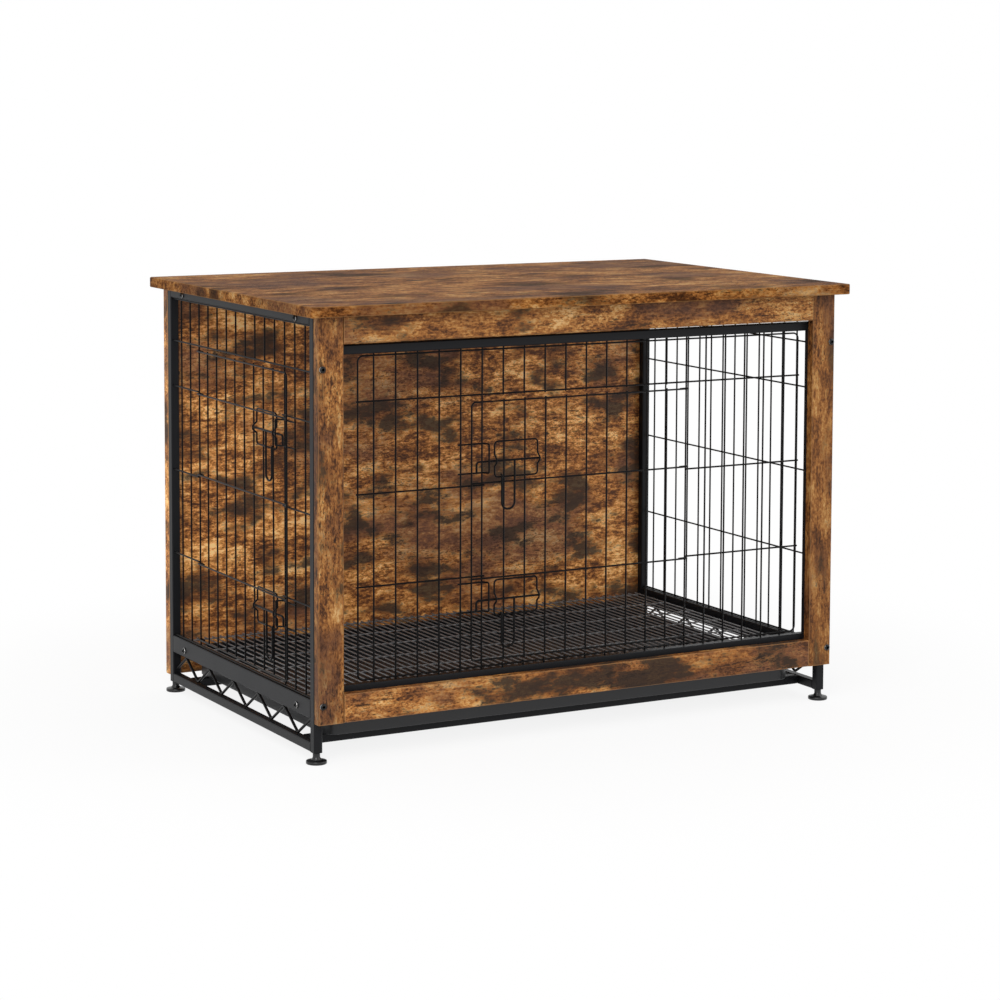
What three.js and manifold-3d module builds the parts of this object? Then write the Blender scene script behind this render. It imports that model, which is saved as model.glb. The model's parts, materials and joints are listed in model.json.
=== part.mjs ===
// Dog crate end table: a wood-topped wire crate with a front door, a side door and a pull-out tray.
// Millimetres, +Z up, X to the right, Y to the back, origin on the floor under the middle.
import * as THREE from 'three';
import { mergeVertices } from 'three/addons/utils/BufferGeometryUtils.js';
import Module from 'manifold-3d';

const wasm = await Module();
wasm.setup();

// ---- Driving dimensions --------------------------------------------------------------------
const GAP = 0.3; // clearance between pieces that touch
const JOIN = 0.4; // how deep two welded wires press into each other
const CUT_PAST = 1; // a bore starts this far outside the piece that it cuts

const TABLE_WIDTH = 864;
const TABLE_DEPTH = 572;
const TABLE_HEIGHT = 620;
const BOARD = 15; // thickness of every wood board
const OVERHANG = 16; // tabletop past the boards and the legs
const BOARD_EASE = 1.5; // rounding along the edges of a board
const POST_WIDTH = 38;
const RAIL_TOP_HEIGHT = 37.5;
const RAIL_BOTTOM_HEIGHT = 39;
const POST_FLOOR_GAP = 56; // floor to the posts and the bottom rail
const BACK_FLOOR_GAP = 24; // floor to the back panel

const TUBE = 12.7; // square steel tube
const TUBE_EASE = 1.2;
const SIDE_BAR_HEIGHT = 25.4; // the taller tube at the bottom of each side
const SIDE_BAR_FLOOR_GAP = 60.5;
const FLOOR_BAR_RISE = 3.5; // side bottom bars' undersides to the floor's cross bars
const LEG_FLOOR_GAP = 15; // floor to the legs and the lower rails
const FRONT_BAR_FLOOR_GAP = 90.3; // floor to the front grid's bottom bar
const FRONT_BAR_TOP_DROP = 40.8; // tabletop's underside to the front grid's top bar
const STILE_INSET = 21.3; // outer face of a leg to the outer face of a front stile
const CROSS_BAR_SETBACK = 56.5; // middle of the crate's end to a cross bar's centre line

const WIRE = 2.5; // grids, doors, guides and keepers
const WIRE_SIDES = 6; // a bent wire's section
const STRAIGHT_SIDES = 4; // a straight wire's section
const ROD = 3; // slide bolts
const ROD_SIDES = 6;

const FRONT_MARGIN = 84.5; // a leg's outer face to the outermost front upright, on average
const FRONT_COUNT = 21;
const FRONT_SHIFT = 7.8; // the front grid sits this far right of the middle
const FRONT_HINGE_INDEX = 15; // the upright that the front door hangs on
const FRONT_BORDER_INDEX = 5; // the upright at the doorway's other side
const RING_SIDE = 24.9; // outermost upright to the grid's outer wire
const RING_TOP_DROP = 3.2; // top bar to the outer wire
const RING_BOTTOM_RISE = 4.5; // bottom bar to the outer wire
const RING_CORNER = 8;
const WIRE_OVERSHOOT = 2.5; // a wire's end past the last wire that it crosses
const FRONT_RAIL_DROP = 65; // top bar to the wire over the front doorway
const FRONT_RAIL_MIDDLE_SHARE = 0.6722; // how far up the doorway the cross wires lie
const FRONT_RAIL_LOW_SHARE = 0.3424;

const SIDE_MARGIN = 38.55; // a leg's outer face to the outermost side upright
const SIDE_COUNT = 14;
const SIDE_HINGE_INDEX = 11; // counted from the front
const SIDE_BORDER_INDEX = 2;
const SIDE_TOP_WIRE_DROP = 1.6; // top bar to the uppermost cross wire
const SIDE_UPPER_DROP = 63.5; // top bar to the wire over the left doorway
const SIDE_RAIL_SHARES = [0.848, 0.5658, 0.2836]; // cross wires that the left doorway interrupts
const SIDE_BOTTOM_WIRE_RISE = 1.6; // bottom bar to the lowest cross wire

const DOOR_OVERLAP = 18.7; // front door's free edge past the doorway's border wire
const DOOR_TOP_DROP = 10; // the wire over the doorway to the front door's top
const DOOR_BOTTOM_RISE = 14; // front bottom bar to the front door's bottom
const DOOR_STEP = 3.3; // a door's cross wire above or below the grid's
const SIDE_DOOR_OVERLAP = 16.5;
const SIDE_DOOR_TOP_DROP = 8.3;
const SIDE_DOOR_BOTTOM_RISE = 10.1;
const DOOR_CORNER = 6;
const EYE_CLEARANCE = 0.4; // hinge wire to the eye that goes round it
const EYE_TAIL = 9;
const DOOR_REST_CLEARANCE = 0.4; // door's free edge to the grid's cross wires

const FRONT_LATCH_OFFSET = 33.2; // rods above the middle cross wire and below the low one
const SIDE_LATCH_DROP = 26.5; // rods below the grid's uppermost and lowest interrupted wires
const LATCH_CLEARANCE = 0.3; // rod to the door, and rod to its guide
const KEEPER_CLEARANCE = 0.4; // rod to its keeper
const FRONT_LATCH_SETBACK = 36; // door's free edge to the guide
const SIDE_LATCH_SETBACK = 33;
const GUIDE_LENGTH = 68;
const GUIDE_RISE = 26.5; // rod to the guide's top run
const GUIDE_DROP = 23; // rod to the guide's bottom run
const GUIDE_CORNER = 5;
const GUIDE_KINK = 8; // half height of the guide's bow round the rod
const HEAD_PAST_GUIDE = 3;
const TIP_BEFORE_EDGE = 6; // tip's centre line to the door's free edge
const TIP_DROP = 14;
const TIP_BEND = 4;
const HANDLE_FROM_GUIDE = 10; // guide's free side to the handle's near leg
const HANDLE_WIDTH = 20;
const HANDLE_BEND = 9.5;
const HANDLE_DROP = 68;
const KEEPER_REACH = 24; // door's free edge to the keeper's closed end
const FRONT_KEEPER_RISE = 24.5; // rod to the keeper's upper leg
const SIDE_KEEPER_RISE = 20;
const KEEPER_TIP_CLEARANCE = 0.75; // bolt's bent tip to the keeper's lower leg
const KEEPER_CORNER = 2;
const KEEPER_TAIL = 5; // keeper's ends past the upright that carries them

const FLOOR_PITCH = 12.4;
const FLOOR_WIRE = 2.4;
const FLOOR_MARGIN = 1.5; // outermost floor wire to the side bars
const FLOOR_END_MARGIN = 14; // crate's end to the floor wires' ends
const FLOOR_CROSS_WIRES = 3;
const FLOOR_CROSS_INSET = 4; // floor wires' ends to the outer cross wires

const TRUSS_WIRE = 4;
const TRUSS_SIDES = 5;
const TRUSS_HALF_WAVES = 11;
const TRUSS_FRONT_MARGIN = 21.5; // front leg's front face to the first turn, a high one
const TRUSS_BACK_MARGIN = 6.7; // back leg's back face to the last low turn, which that leg cuts short
const TRUSS_FLAT = 2; // half length of the flat at each turn

const TRAY_SIDE_MARGIN = 35; // legs' outer faces to the tray's walls
const TRAY_BACK_MARGIN = 20;
const TRAY_WALL = 2;
const TRAY_HEIGHT = 27;
const TRAY_CORNER = 22;
const TRAY_LIP = 4;
const TRAY_SETBACK = 34; // legs' front faces to the tray's front wall

const FOOT_RADIUS = 14.2;
const FOOT_DISC = 4.5;
const FOOT_EASE = 1;
const FOOT_NUT_RADIUS = 5;
const FOOT_CONE_TOP = 9;
const FOOT_STEM = 3.2;
const FOOT_STEM_DEPTH = 12;
const FOOT_SIDES = 10;
const STEM_BORE_SIDES = 8;

const BOLT_HEAD = 4.75;
const BOLT_HEAD_HEIGHT = 2.6;
const BOLT_SHANK = 2.7;
const BOLT_BITE = 8; // shank past the first piece, into the next
const BOLT_DOME = 1.2; // how far the head draws in toward its top
const BOLT_SIDES = 6;
const BORE_SIDES = 6;
const POST_BOLT_DROP = 70; // tabletop's underside to the upper bolts
const POST_BOLT_RISE = 25.5; // posts' undersides to the lower bolts

// ---- Places worked out from them -------------------------------------------------------------
const FRAME_X = TABLE_WIDTH / 2 - OVERHANG; // outer faces of the legs
const FRAME_Y = TABLE_DEPTH / 2 - OVERHANG - BOARD;
const TOP_UNDER = TABLE_HEIGHT - BOARD;
const LEG_X = FRAME_X - TUBE / 2;
const LEG_Y = FRAME_Y - TUBE / 2;
const FRONT_Y = -LEG_Y; // the front grid's plane
const CROSS_Y = FRAME_Y - CROSS_BAR_SETBACK;
const LAYER = WIRE - JOIN; // centre to centre of two crossing wires
const SIDE_BAR_TOP = SIDE_BAR_FLOOR_GAP + SIDE_BAR_HEIGHT;
const LOWER_RAIL_TOP = LEG_FLOOR_GAP + TUBE;
const FRONT_BAR_TOP = FRONT_BAR_FLOOR_GAP + TUBE;
const FRONT_BAR_UPPER = TOP_UNDER - FRONT_BAR_TOP_DROP - TUBE; // underside of the top bar
const SIDE_TOP_UNDER = TOP_UNDER - TUBE;
const FLOOR_BAR_BASE = SIDE_BAR_FLOOR_GAP + FLOOR_BAR_RISE;
const TOP_BOLT = SIDE_TOP_UNDER + TUBE / 2;
const FLOOR_BOLT = FLOOR_BAR_BASE + TUBE / 2;
const POST_BOLT_TOP = TOP_UNDER - POST_BOLT_DROP;
const POST_BOLT_BOTTOM = POST_FLOOR_GAP + POST_BOLT_RISE;
const FRONT_PITCH = (2 * (FRAME_X - FRONT_MARGIN)) / (FRONT_COUNT - 1);
const FRONT_RAIL_TOP = FRONT_BAR_UPPER - FRONT_RAIL_DROP;
const frontHeight = (share) => FRONT_BAR_TOP + share * (FRONT_RAIL_TOP - FRONT_BAR_TOP);
const FRONT_RAIL_MIDDLE = frontHeight(FRONT_RAIL_MIDDLE_SHARE);
const FRONT_RAIL_LOW = frontHeight(FRONT_RAIL_LOW_SHARE);
const FRONT_LATCH_HEIGHTS = [FRONT_RAIL_MIDDLE + FRONT_LATCH_OFFSET, FRONT_RAIL_LOW - FRONT_LATCH_OFFSET];
const SIDE_PITCH = (2 * (FRAME_Y - SIDE_MARGIN)) / (SIDE_COUNT - 1);
const SIDE_UPPER_WIRE = SIDE_TOP_UNDER - SIDE_UPPER_DROP;
const sideHeight = (share) => SIDE_BAR_TOP + share * (SIDE_UPPER_WIRE - SIDE_BAR_TOP);
const SIDE_RAILS = SIDE_RAIL_SHARES.map(sideHeight);
const SIDE_LATCH_HEIGHTS = [SIDE_RAILS[0] - SIDE_LATCH_DROP, SIDE_RAILS[2] - SIDE_LATCH_DROP];
const TRUSS_HALF_WAVE = (2 * FRAME_Y - TRUSS_FRONT_MARGIN - TRUSS_BACK_MARGIN) / TRUSS_HALF_WAVES;
const EYE_RADIUS = WIRE + EYE_CLEARANCE;
const ROD_OUT = WIRE / 2 + LATCH_CLEARANCE + ROD / 2; // door's plane to the rod
const BOW_OUT = ROD_OUT + ROD / 2 + LATCH_CLEARANCE + WIRE / 2;
const KEEPER_DROP = TIP_DROP + KEEPER_TIP_CLEARANCE + WIRE / 2;
const KEEPER_OUT = ROD_OUT + ROD / 2 + KEEPER_CLEARANCE + WIRE / 2;

// ---- Materials -------------------------------------------------------------------------------
function finish(color, roughness, metalness) {
  return () => new THREE.MeshStandardMaterial({ color, roughness, metalness });
}
const wood = finish(0x9a6236, 0.6, 0);
const powderCoat = finish(0x2b2c2f, 0.45, 0.35);
const blackWire = finish(0x232426, 0.4, 0.4);
const blackPlastic = finish(0x1b1b1c, 0.5, 0);
const darkSteel = finish(0x3a3b3d, 0.35, 0.8);

// ---- Solids ----------------------------------------------------------------------------------
/** A geometry as a solid that can be joined and cut. */
function solid(geometry) {
  const bare = geometry.clone();
  bare.deleteAttribute('normal');
  bare.deleteAttribute('uv');
  const welded = mergeVertices(bare, 1e-4);
  const vertProperties = new Float32Array(welded.attributes.position.array);
  const triVerts = new Uint32Array(welded.index.array);
  return new wasm.Manifold(new wasm.Mesh({ numProp: 3, vertProperties, triVerts }));
}

/** A joined or cut solid as a geometry again. */
function geometryOf(body) {
  const mesh = body.getMesh();
  const geometry = new THREE.BufferGeometry();
  geometry.setAttribute('position', new THREE.BufferAttribute(mesh.vertProperties, 3));
  geometry.setIndex(new THREE.BufferAttribute(mesh.triVerts, 1));
  geometry.computeVertexNormals();
  return geometry;
}

/** Several geometries joined into one. */
function joined(pieces) {
  return geometryOf(pieces.map(solid).reduce((whole, piece) => whole.add(piece)));
}

/** One geometry with others cut out of it. */
function cut(piece, tools) {
  return geometryOf(tools.map(solid).reduce((whole, tool) => whole.subtract(tool), solid(piece)));
}

/** A rectangle with its corners cut by `ease`, centred on the origin. */
function easedRectangle(width, height, ease) {
  const x = width / 2;
  const y = height / 2;
  const shape = new THREE.Shape();
  shape.moveTo(-x + ease, -y).lineTo(x - ease, -y).lineTo(x, -y + ease).lineTo(x, y - ease);
  shape.lineTo(x - ease, y).lineTo(-x + ease, y).lineTo(-x, y - ease).lineTo(-x, -y + ease);
  return shape.closePath();
}

/** A bar of eased rectangular section between two corners, running along one axis. */
function bar(axis, [x0, x1], [y0, y1], [z0, z1], ease = TUBE_EASE) {
  const size = [x1 - x0, y1 - y0, z1 - z0];
  const [across, up] = axis === 'x' ? [2, 1] : axis === 'y' ? [0, 2] : [0, 1];
  const length = size['xyz'.indexOf(axis)];
  const section = easedRectangle(size[across], size[up], ease);
  const geometry = new THREE.ExtrudeGeometry(section, { depth: length, bevelEnabled: false });
  geometry.translate(0, 0, -length / 2);
  if (axis === 'x') geometry.rotateY(Math.PI / 2);
  if (axis === 'y') geometry.rotateX(Math.PI / 2);
  return geometry.translate((x0 + x1) / 2, (y0 + y1) / 2, (z0 + z1) / 2);
}

/** A path of short straight steps through exactly the points given. */
class WirePath extends THREE.Curve {
  constructor(points) {
    super();
    this.points = points;
  }

  getPointAt(share) {
    const at = share * (this.points.length - 1);
    const first = Math.min(Math.floor(at), this.points.length - 2);
    return this.points[first].clone().lerp(this.points[first + 1], at - first);
  }

  getSpacedPoints() {
    return this.points.map((point) => point.clone());
  }

  getTangentAt(share) {
    const at = Math.round(share * (this.points.length - 1));
    const before = this.points[Math.max(at - 1, 0)];
    const here = this.points[at];
    const after = this.points[Math.min(at + 1, this.points.length - 1)];
    const arriving = here.clone().sub(before).normalize();
    const leaving = after.clone().sub(here).normalize();
    return arriving.add(leaving).normalize();
  }
}

/** A round section with `sides` corners, one of them straight up. */
function roundSection(radius, sides) {
  const shape = new THREE.Shape();
  for (let side = 0; side < sides; side += 1) {
    const angle = Math.PI / 2 + (2 * Math.PI * side) / sides;
    const corner = [radius * Math.cos(angle), radius * Math.sin(angle)];
    if (side === 0) shape.moveTo(...corner);
    else shape.lineTo(...corner);
  }
  return shape.closePath();
}

/** A bent wire through the points, made by sweeping a round section along them. */
function bentWire(points, diameter = WIRE, sides = WIRE_SIDES) {
  const extrudePath = new WirePath(points);
  const options = { steps: points.length - 1, extrudePath, bevelEnabled: false };
  return new THREE.ExtrudeGeometry(roundSection(diameter / 2, sides), options);
}

/** A straight wire along x or z, with one corner of its section facing front and back. */
function straightWire(axis, from, to, [a, b], diameter = WIRE) {
  const length = to - from;
  const middle = (from + to) / 2;
  const geometry = new THREE.CylinderGeometry(diameter / 2, diameter / 2, length, STRAIGHT_SIDES);
  if (axis === 'x') return geometry.rotateZ(Math.PI / 2).rotateX(Math.PI / 2).translate(middle, a, b);
  return geometry.rotateX(Math.PI / 2).translate(a, b, middle);
}

/** Points of a path with its inner corners rounded, `steps` points in each arc. */
function rounded(corners, radius, steps = 2) {
  const path = [corners[0]];
  for (let i = 1; i < corners.length - 1; i += 1) {
    const into = corners[i - 1].clone().sub(corners[i]).normalize();
    const out = corners[i + 1].clone().sub(corners[i]).normalize();
    const halfAngle = into.angleTo(out) / 2;
    const reach = radius / Math.tan(halfAngle);
    const centreWay = into.clone().add(out).normalize();
    const centre = corners[i].clone().addScaledVector(centreWay, radius / Math.sin(halfAngle));
    const start = corners[i].clone().addScaledVector(into, reach).sub(centre);
    const end = corners[i].clone().addScaledVector(out, reach).sub(centre);
    const turn = start.angleTo(end);
    for (let step = 0; step <= steps; step += 1) {
      const share = step / steps;
      const first = start.clone().multiplyScalar(Math.sin((1 - share) * turn) / Math.sin(turn));
      const second = end.clone().multiplyScalar(Math.sin(share * turn) / Math.sin(turn));
      path.push(centre.clone().add(first).add(second));
    }
  }
  path.push(corners[corners.length - 1]);
  return path;
}

const point = (x, y, z) => new THREE.Vector3(x, y, z);

// ---- Wood boards -----------------------------------------------------------------------------
const BORE_RADIUS = (BOLT_SHANK + GAP) / Math.cos(Math.PI / BORE_SIDES);

/** A bore along y for a bolt's shank, from one depth to another. */
function boreAlongY(x, z, y0, y1) {
  const bore = new THREE.CylinderGeometry(BORE_RADIUS, BORE_RADIUS, y1 - y0, BORE_SIDES);
  return bore.translate(x, (y0 + y1) / 2, z);
}

/** A bore along x for a bolt's shank. */
function boreAlongX(y, z, x0, x1) {
  const bore = new THREE.CylinderGeometry(BORE_RADIUS, BORE_RADIUS, x1 - x0, BORE_SIDES);
  return bore.rotateZ(Math.PI / 2).translate((x0 + x1) / 2, y, z);
}

/** Tabletop with its edges eased all round. */
function tabletop() {
  const flat = easedRectangle(TABLE_WIDTH - 2 * BOARD_EASE, TABLE_DEPTH - 2 * BOARD_EASE, BOARD_EASE);
  const easing = { bevelThickness: BOARD_EASE, bevelSize: BOARD_EASE, bevelSegments: 2 };
  const options = { depth: BOARD - 2 * BOARD_EASE, bevelEnabled: true, ...easing };
  return new THREE.ExtrudeGeometry(flat, options).translate(0, 0, TOP_UNDER + BOARD_EASE);
}

const BOARD_FRONT = [-FRAME_Y - BOARD, -FRAME_Y - GAP];
const BOARD_BACK = [FRAME_Y + GAP, FRAME_Y + BOARD];
const BOLT_HEIGHTS = [POST_BOLT_TOP, POST_BOLT_BOTTOM];

/** A front post, bored for the two bolts that hold it to its leg. */
function frontPost(side) {
  const across = side < 0 ? [-FRAME_X, -FRAME_X + POST_WIDTH] : [FRAME_X - POST_WIDTH, FRAME_X];
  const board = bar('z', across, BOARD_FRONT, [POST_FLOOR_GAP, TOP_UNDER - GAP], BOARD_EASE);
  const [y0, y1] = [BOARD_FRONT[0] - CUT_PAST, BOARD_FRONT[1] + CUT_PAST];
  const bores = BOLT_HEIGHTS.map((z) => boreAlongY(side * LEG_X, z, y0, y1));
  return cut(board, bores);
}

/** A rail that fits between the two front posts. */
function frontRail(z0, z1) {
  const x = FRAME_X - POST_WIDTH - GAP;
  return bar('x', [-x, x], BOARD_FRONT, [z0, z1], BOARD_EASE);
}

/** The back panel, bored for its four bolts. */
function backPanel() {
  const board = bar('x', [-FRAME_X, FRAME_X], BOARD_BACK, [BACK_FLOOR_GAP, TOP_UNDER - GAP], BOARD_EASE);
  const [y0, y1] = [BOARD_BACK[0] - CUT_PAST, BOARD_BACK[1] + CUT_PAST];
  const bores = [-1, 1].flatMap((side) => BOLT_HEIGHTS.map((z) => boreAlongY(side * LEG_X, z, y0, y1)));
  return cut(board, bores);
}

// ---- Square tube -----------------------------------------------------------------------------
const legSpan = (side) => (side < 0 ? [-FRAME_X, -FRAME_X + TUBE] : [FRAME_X - TUBE, FRAME_X]);
const endSpan = (end) => (end < 0 ? [-FRAME_Y, -FRAME_Y + TUBE] : [FRAME_Y - TUBE, FRAME_Y]);
const BETWEEN_LEGS = [-FRAME_Y + TUBE + GAP, FRAME_Y - TUBE - GAP];

/** A leg, bored for the foot's stem and for the bolts that come through the wood. */
function leg(side, end) {
  const tube = bar('z', legSpan(side), endSpan(end), [LEG_FLOOR_GAP, TOP_UNDER - GAP]);
  const radius = FOOT_STEM + GAP;
  const depth = FOOT_STEM_DEPTH + GAP;
  const length = depth + CUT_PAST;
  const socket = new THREE.CylinderGeometry(radius, radius, length, STEM_BORE_SIDES);
  socket.rotateX(Math.PI / 2);
  socket.translate(side * LEG_X, end * LEG_Y, LEG_FLOOR_GAP + depth - length / 2);
  const outer = end * (FRAME_Y + CUT_PAST);
  const inner = end * (FRAME_Y - BOLT_BITE - GAP);
  const [y0, y1] = [outer, inner].sort((a, b) => a - b);
  const bores = BOLT_HEIGHTS.map((z) => boreAlongY(side * LEG_X, z, y0, y1));
  return cut(tube, [socket, ...bores]);
}

/** A bar along one side, between the front and the back leg. */
function sideBar(side, z0, z1, boreHeight) {
  const tube = bar('y', legSpan(side), BETWEEN_LEGS, [z0, z1]);
  if (boreHeight === undefined) return tube;
  const [x0, x1] = legSpan(side);
  return cut(tube, [-1, 1].map((end) => boreAlongX(end * CROSS_Y, boreHeight, x0 - CUT_PAST, x1 + CUT_PAST)));
}

/** A bar from side to side at one end of the crate, bored at both ends where bolts reach it. */
function crossBar(end, z0, bored) {
  const x = FRAME_X - TUBE - GAP;
  const tube = bar('x', [-x, x], [end * CROSS_Y - TUBE / 2, end * CROSS_Y + TUBE / 2], [z0, z0 + TUBE]);
  if (!bored) return tube;
  const z = z0 + TUBE / 2;
  const depth = BOLT_BITE + GAP;
  const spans = [[-x - CUT_PAST, -x + depth], [x - depth, x + CUT_PAST]];
  return cut(tube, spans.map(([from, to]) => boreAlongX(end * CROSS_Y, z, from, to)));
}

const STILE_OUT = FRAME_X - STILE_INSET;
const FRONT_FRAME = [-FRAME_Y, -FRAME_Y + TUBE];

/** Top or bottom bar of the front grid's own frame, between its stiles. */
function frontBar(z0) {
  const x = STILE_OUT - TUBE - GAP;
  return bar('x', [-x, x], FRONT_FRAME, [z0, z0 + TUBE]);
}

/** A stile of the front grid's frame, from the bottom bar's underside to the top bar's top. */
function frontStile(side) {
  const across = side < 0 ? [-STILE_OUT, -STILE_OUT + TUBE] : [STILE_OUT - TUBE, STILE_OUT];
  return bar('z', across, FRONT_FRAME, [FRONT_BAR_FLOOR_GAP, FRONT_BAR_UPPER + TUBE]);
}

/** The zigzag wire between a side's bottom bar and its lower rail, from leg to leg. */
function truss(side) {
  const low = LOWER_RAIL_TOP + GAP + TRUSS_WIRE / 2;
  const high = SIDE_BAR_FLOOR_GAP - GAP - TRUSS_WIRE / 2;
  const legFace = FRAME_Y - TUBE - GAP;
  const points = [point(side * LEG_X, -legFace, high)];
  for (let turn = 0; turn < TRUSS_HALF_WAVES; turn += 1) {
    const y = -FRAME_Y + TRUSS_FRONT_MARGIN + turn * TRUSS_HALF_WAVE;
    const z = turn % 2 === 0 ? high : low;
    points.push(point(side * LEG_X, y - TRUSS_FLAT, z), point(side * LEG_X, y + TRUSS_FLAT, z));
  }
  const end = legFace - TRUSS_WIRE / 2;
  const beyond = FRAME_Y - TRUSS_BACK_MARGIN - TRUSS_FLAT - end;
  const cutHeight = low + ((high - low) * beyond) / (TRUSS_HALF_WAVE - 2 * TRUSS_FLAT);
  points.push(point(side * LEG_X, end, cutHeight));
  return bentWire(points, TRUSS_WIRE, TRUSS_SIDES);
}

// ---- Doors and their latches -----------------------------------------------------------------
// A door is drawn in its own frame: u runs from the hinge wire to the free edge, w is how far a
// point lies outside the plane of the door's cross wires, and `hand` is +1 where u runs to the
// right as seen from outside.
const doorPoint = (hand, u, w, z) => point(hand * u, -(w + EYE_RADIUS), z);

/** How far a door leans out, so that its free edge lies on the grid's cross wires. */
function doorLean(length) {
  const edgeOut = LAYER + WIRE + DOOR_REST_CLEARANCE;
  return Math.asin((edgeOut - EYE_RADIUS) / length);
}

/** The hooked end of a door's cross wire, from its tail round the hinge wire to its run. */
function eye(hand, z) {
  const steps = 4;
  const reach = EYE_RADIUS / Math.cos(Math.PI / (2 * steps));
  const path = [doorPoint(hand, EYE_TAIL, -EYE_RADIUS - WIRE / 2 - EYE_CLEARANCE, z)];
  for (let step = 0; step < steps; step += 1) {
    const angle = (Math.PI * (step + 0.5)) / steps;
    path.push(doorPoint(hand, -reach * Math.sin(angle), -EYE_RADIUS - reach * Math.cos(angle), z));
  }
  return path;
}

/** The wire loop on a door that a slide bolt runs in, bowed out round the rod. */
function boltGuide(hand, freeSide, rodHeight) {
  const hingeSide = freeSide - GUIDE_LENGTH;
  const at = (u, w, dz) => doorPoint(hand, u, w, rodHeight + dz);
  const middle = (hingeSide + freeSide) / 2;
  const side = (u, direction) => {
    const heights = [GUIDE_KINK, WIRE, -WIRE, -GUIDE_KINK].map((dz) => dz * direction);
    return heights.map((dz, i) => at(u, i === 1 || i === 2 ? BOW_OUT : 0, dz));
  };
  const bentEnd = (u, direction) => {
    const [start, end] = direction > 0 ? [GUIDE_RISE, -GUIDE_DROP] : [-GUIDE_DROP, GUIDE_RISE];
    const corners = [at(middle, 0, start), at(u, 0, start), ...side(u, direction), at(u, 0, end)];
    corners.push(at(middle, 0, end));
    const turns = rounded(corners.slice(0, 3), GUIDE_CORNER, 2).slice(0, -1);
    const returns = rounded(corners.slice(-3), GUIDE_CORNER, 2).slice(1);
    return [...turns, ...side(u, direction), ...returns];
  };
  return [bentWire(bentEnd(freeSide, 1)), bentWire(bentEnd(hingeSide, -1))];
}

/** A slide bolt: the rod with its bent tip, and the drop handle that hangs from it. */
function slideBolt(hand, doorLength, freeSide, rodHeight) {
  const at = (u, w, dz) => doorPoint(hand, u, w + ROD_OUT, rodHeight + dz);
  const head = freeSide - GUIDE_LENGTH - HEAD_PAST_GUIDE;
  const tip = doorLength - TIP_BEFORE_EDGE;
  const rod = rounded([at(head, 0, 0), at(tip, 0, 0), at(tip, 0, -TIP_DROP)], TIP_BEND);
  const nearLeg = freeSide - HANDLE_FROM_GUIDE;
  const farLeg = nearLeg - HANDLE_WIDTH;
  const hookTop = -GUIDE_DROP + (WIRE + ROD) / 2 + LATCH_CLEARANCE;
  const corners = [
    at(farLeg, 0, 0),
    at(farLeg, 0, -HANDLE_DROP),
    at(nearLeg, 0, -HANDLE_DROP),
    at(nearLeg, 0, hookTop),
    at(nearLeg, -ROD_OUT, hookTop),
  ];
  const loop = rounded(corners.slice(0, 4), HANDLE_BEND, 4).slice(0, -1);
  const hook = rounded(corners.slice(2), ROD_OUT / 2, 2).slice(1);
  return joined([bentWire(rod, ROD, ROD_SIDES), bentWire([...loop, ...hook], ROD, ROD_SIDES)]);
}

/** A wire door: outer wire, uprights, cross wires with their eyes, and two bolt guides. */
function wireDoor({ hand, length, pitch, count, top, bottom, crossHeights, setback, latches }) {
  const path = [...eye(hand, top)];
  const ring = rounded(
    [
      path[path.length - 1],
      doorPoint(hand, length, 0, top),
      doorPoint(hand, length, 0, bottom),
      doorPoint(hand, EYE_TAIL, 0, bottom),
    ],
    DOOR_CORNER,
  );
  const lowerEye = [...eye(hand, bottom)].reverse();
  const pieces = [bentWire([...path.slice(0, -1), ...ring.slice(0, -1), ...lowerEye])];
  for (const z of crossHeights) pieces.push(bentWire([...eye(hand, z), doorPoint(hand, length, 0, z)]));
  for (let k = 1; k <= count; k += 1) {
    const place = [hand * k * pitch, LAYER - EYE_RADIUS];
    pieces.push(straightWire('z', bottom - WIRE_OVERSHOOT, top + WIRE_OVERSHOOT, place));
  }
  for (const z of latches) pieces.push(...boltGuide(hand, length - setback, z));
  return joined(pieces);
}

/** The hoop on a grid that a slide bolt's tip runs behind, in the door's u measured flat. */
function keeper(hinge, { hand, length, lean, carrier, border, keeperRise }, rodHeight) {
  const end = length - KEEPER_REACH;
  const out = EYE_RADIUS + KEEPER_OUT + Math.sin(lean) * end;
  const at = (u, w, dz) => point(hinge[0] + hand * u, hinge[1] - w, rodHeight + dz);
  const bend = border - WIRE / 2;
  const corners = [
    at(carrier + KEEPER_TAIL, LAYER, keeperRise),
    at(bend, LAYER, keeperRise),
    at(end, out, keeperRise),
    at(end, out, -KEEPER_DROP),
    at(bend, LAYER, -KEEPER_DROP),
    at(carrier + KEEPER_TAIL, LAYER, -KEEPER_DROP),
  ];
  return bentWire(rounded(corners, KEEPER_CORNER, 2));
}

// ---- Grids -----------------------------------------------------------------------------------
const FRONT_FIRST = FRONT_SHIFT - ((FRONT_COUNT - 1) / 2) * FRONT_PITCH;
const frontUpright = (n) => FRONT_FIRST + n * FRONT_PITCH;
const frontDoor = {
  hand: -1,
  length: frontUpright(FRONT_HINGE_INDEX) - frontUpright(FRONT_BORDER_INDEX) + DOOR_OVERLAP,
  pitch: FRONT_PITCH,
  count: FRONT_HINGE_INDEX - FRONT_BORDER_INDEX - 1,
  top: FRONT_RAIL_TOP - DOOR_TOP_DROP,
  bottom: FRONT_BAR_TOP + DOOR_BOTTOM_RISE,
  crossHeights: [FRONT_RAIL_MIDDLE + DOOR_STEP, FRONT_RAIL_LOW - DOOR_STEP],
  setback: FRONT_LATCH_SETBACK,
  latches: FRONT_LATCH_HEIGHTS,
  keeperRise: FRONT_KEEPER_RISE,
};
frontDoor.lean = doorLean(frontDoor.length);
frontDoor.border = (FRONT_HINGE_INDEX - FRONT_BORDER_INDEX) * FRONT_PITCH;
frontDoor.carrier = frontDoor.border + FRONT_PITCH;

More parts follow.
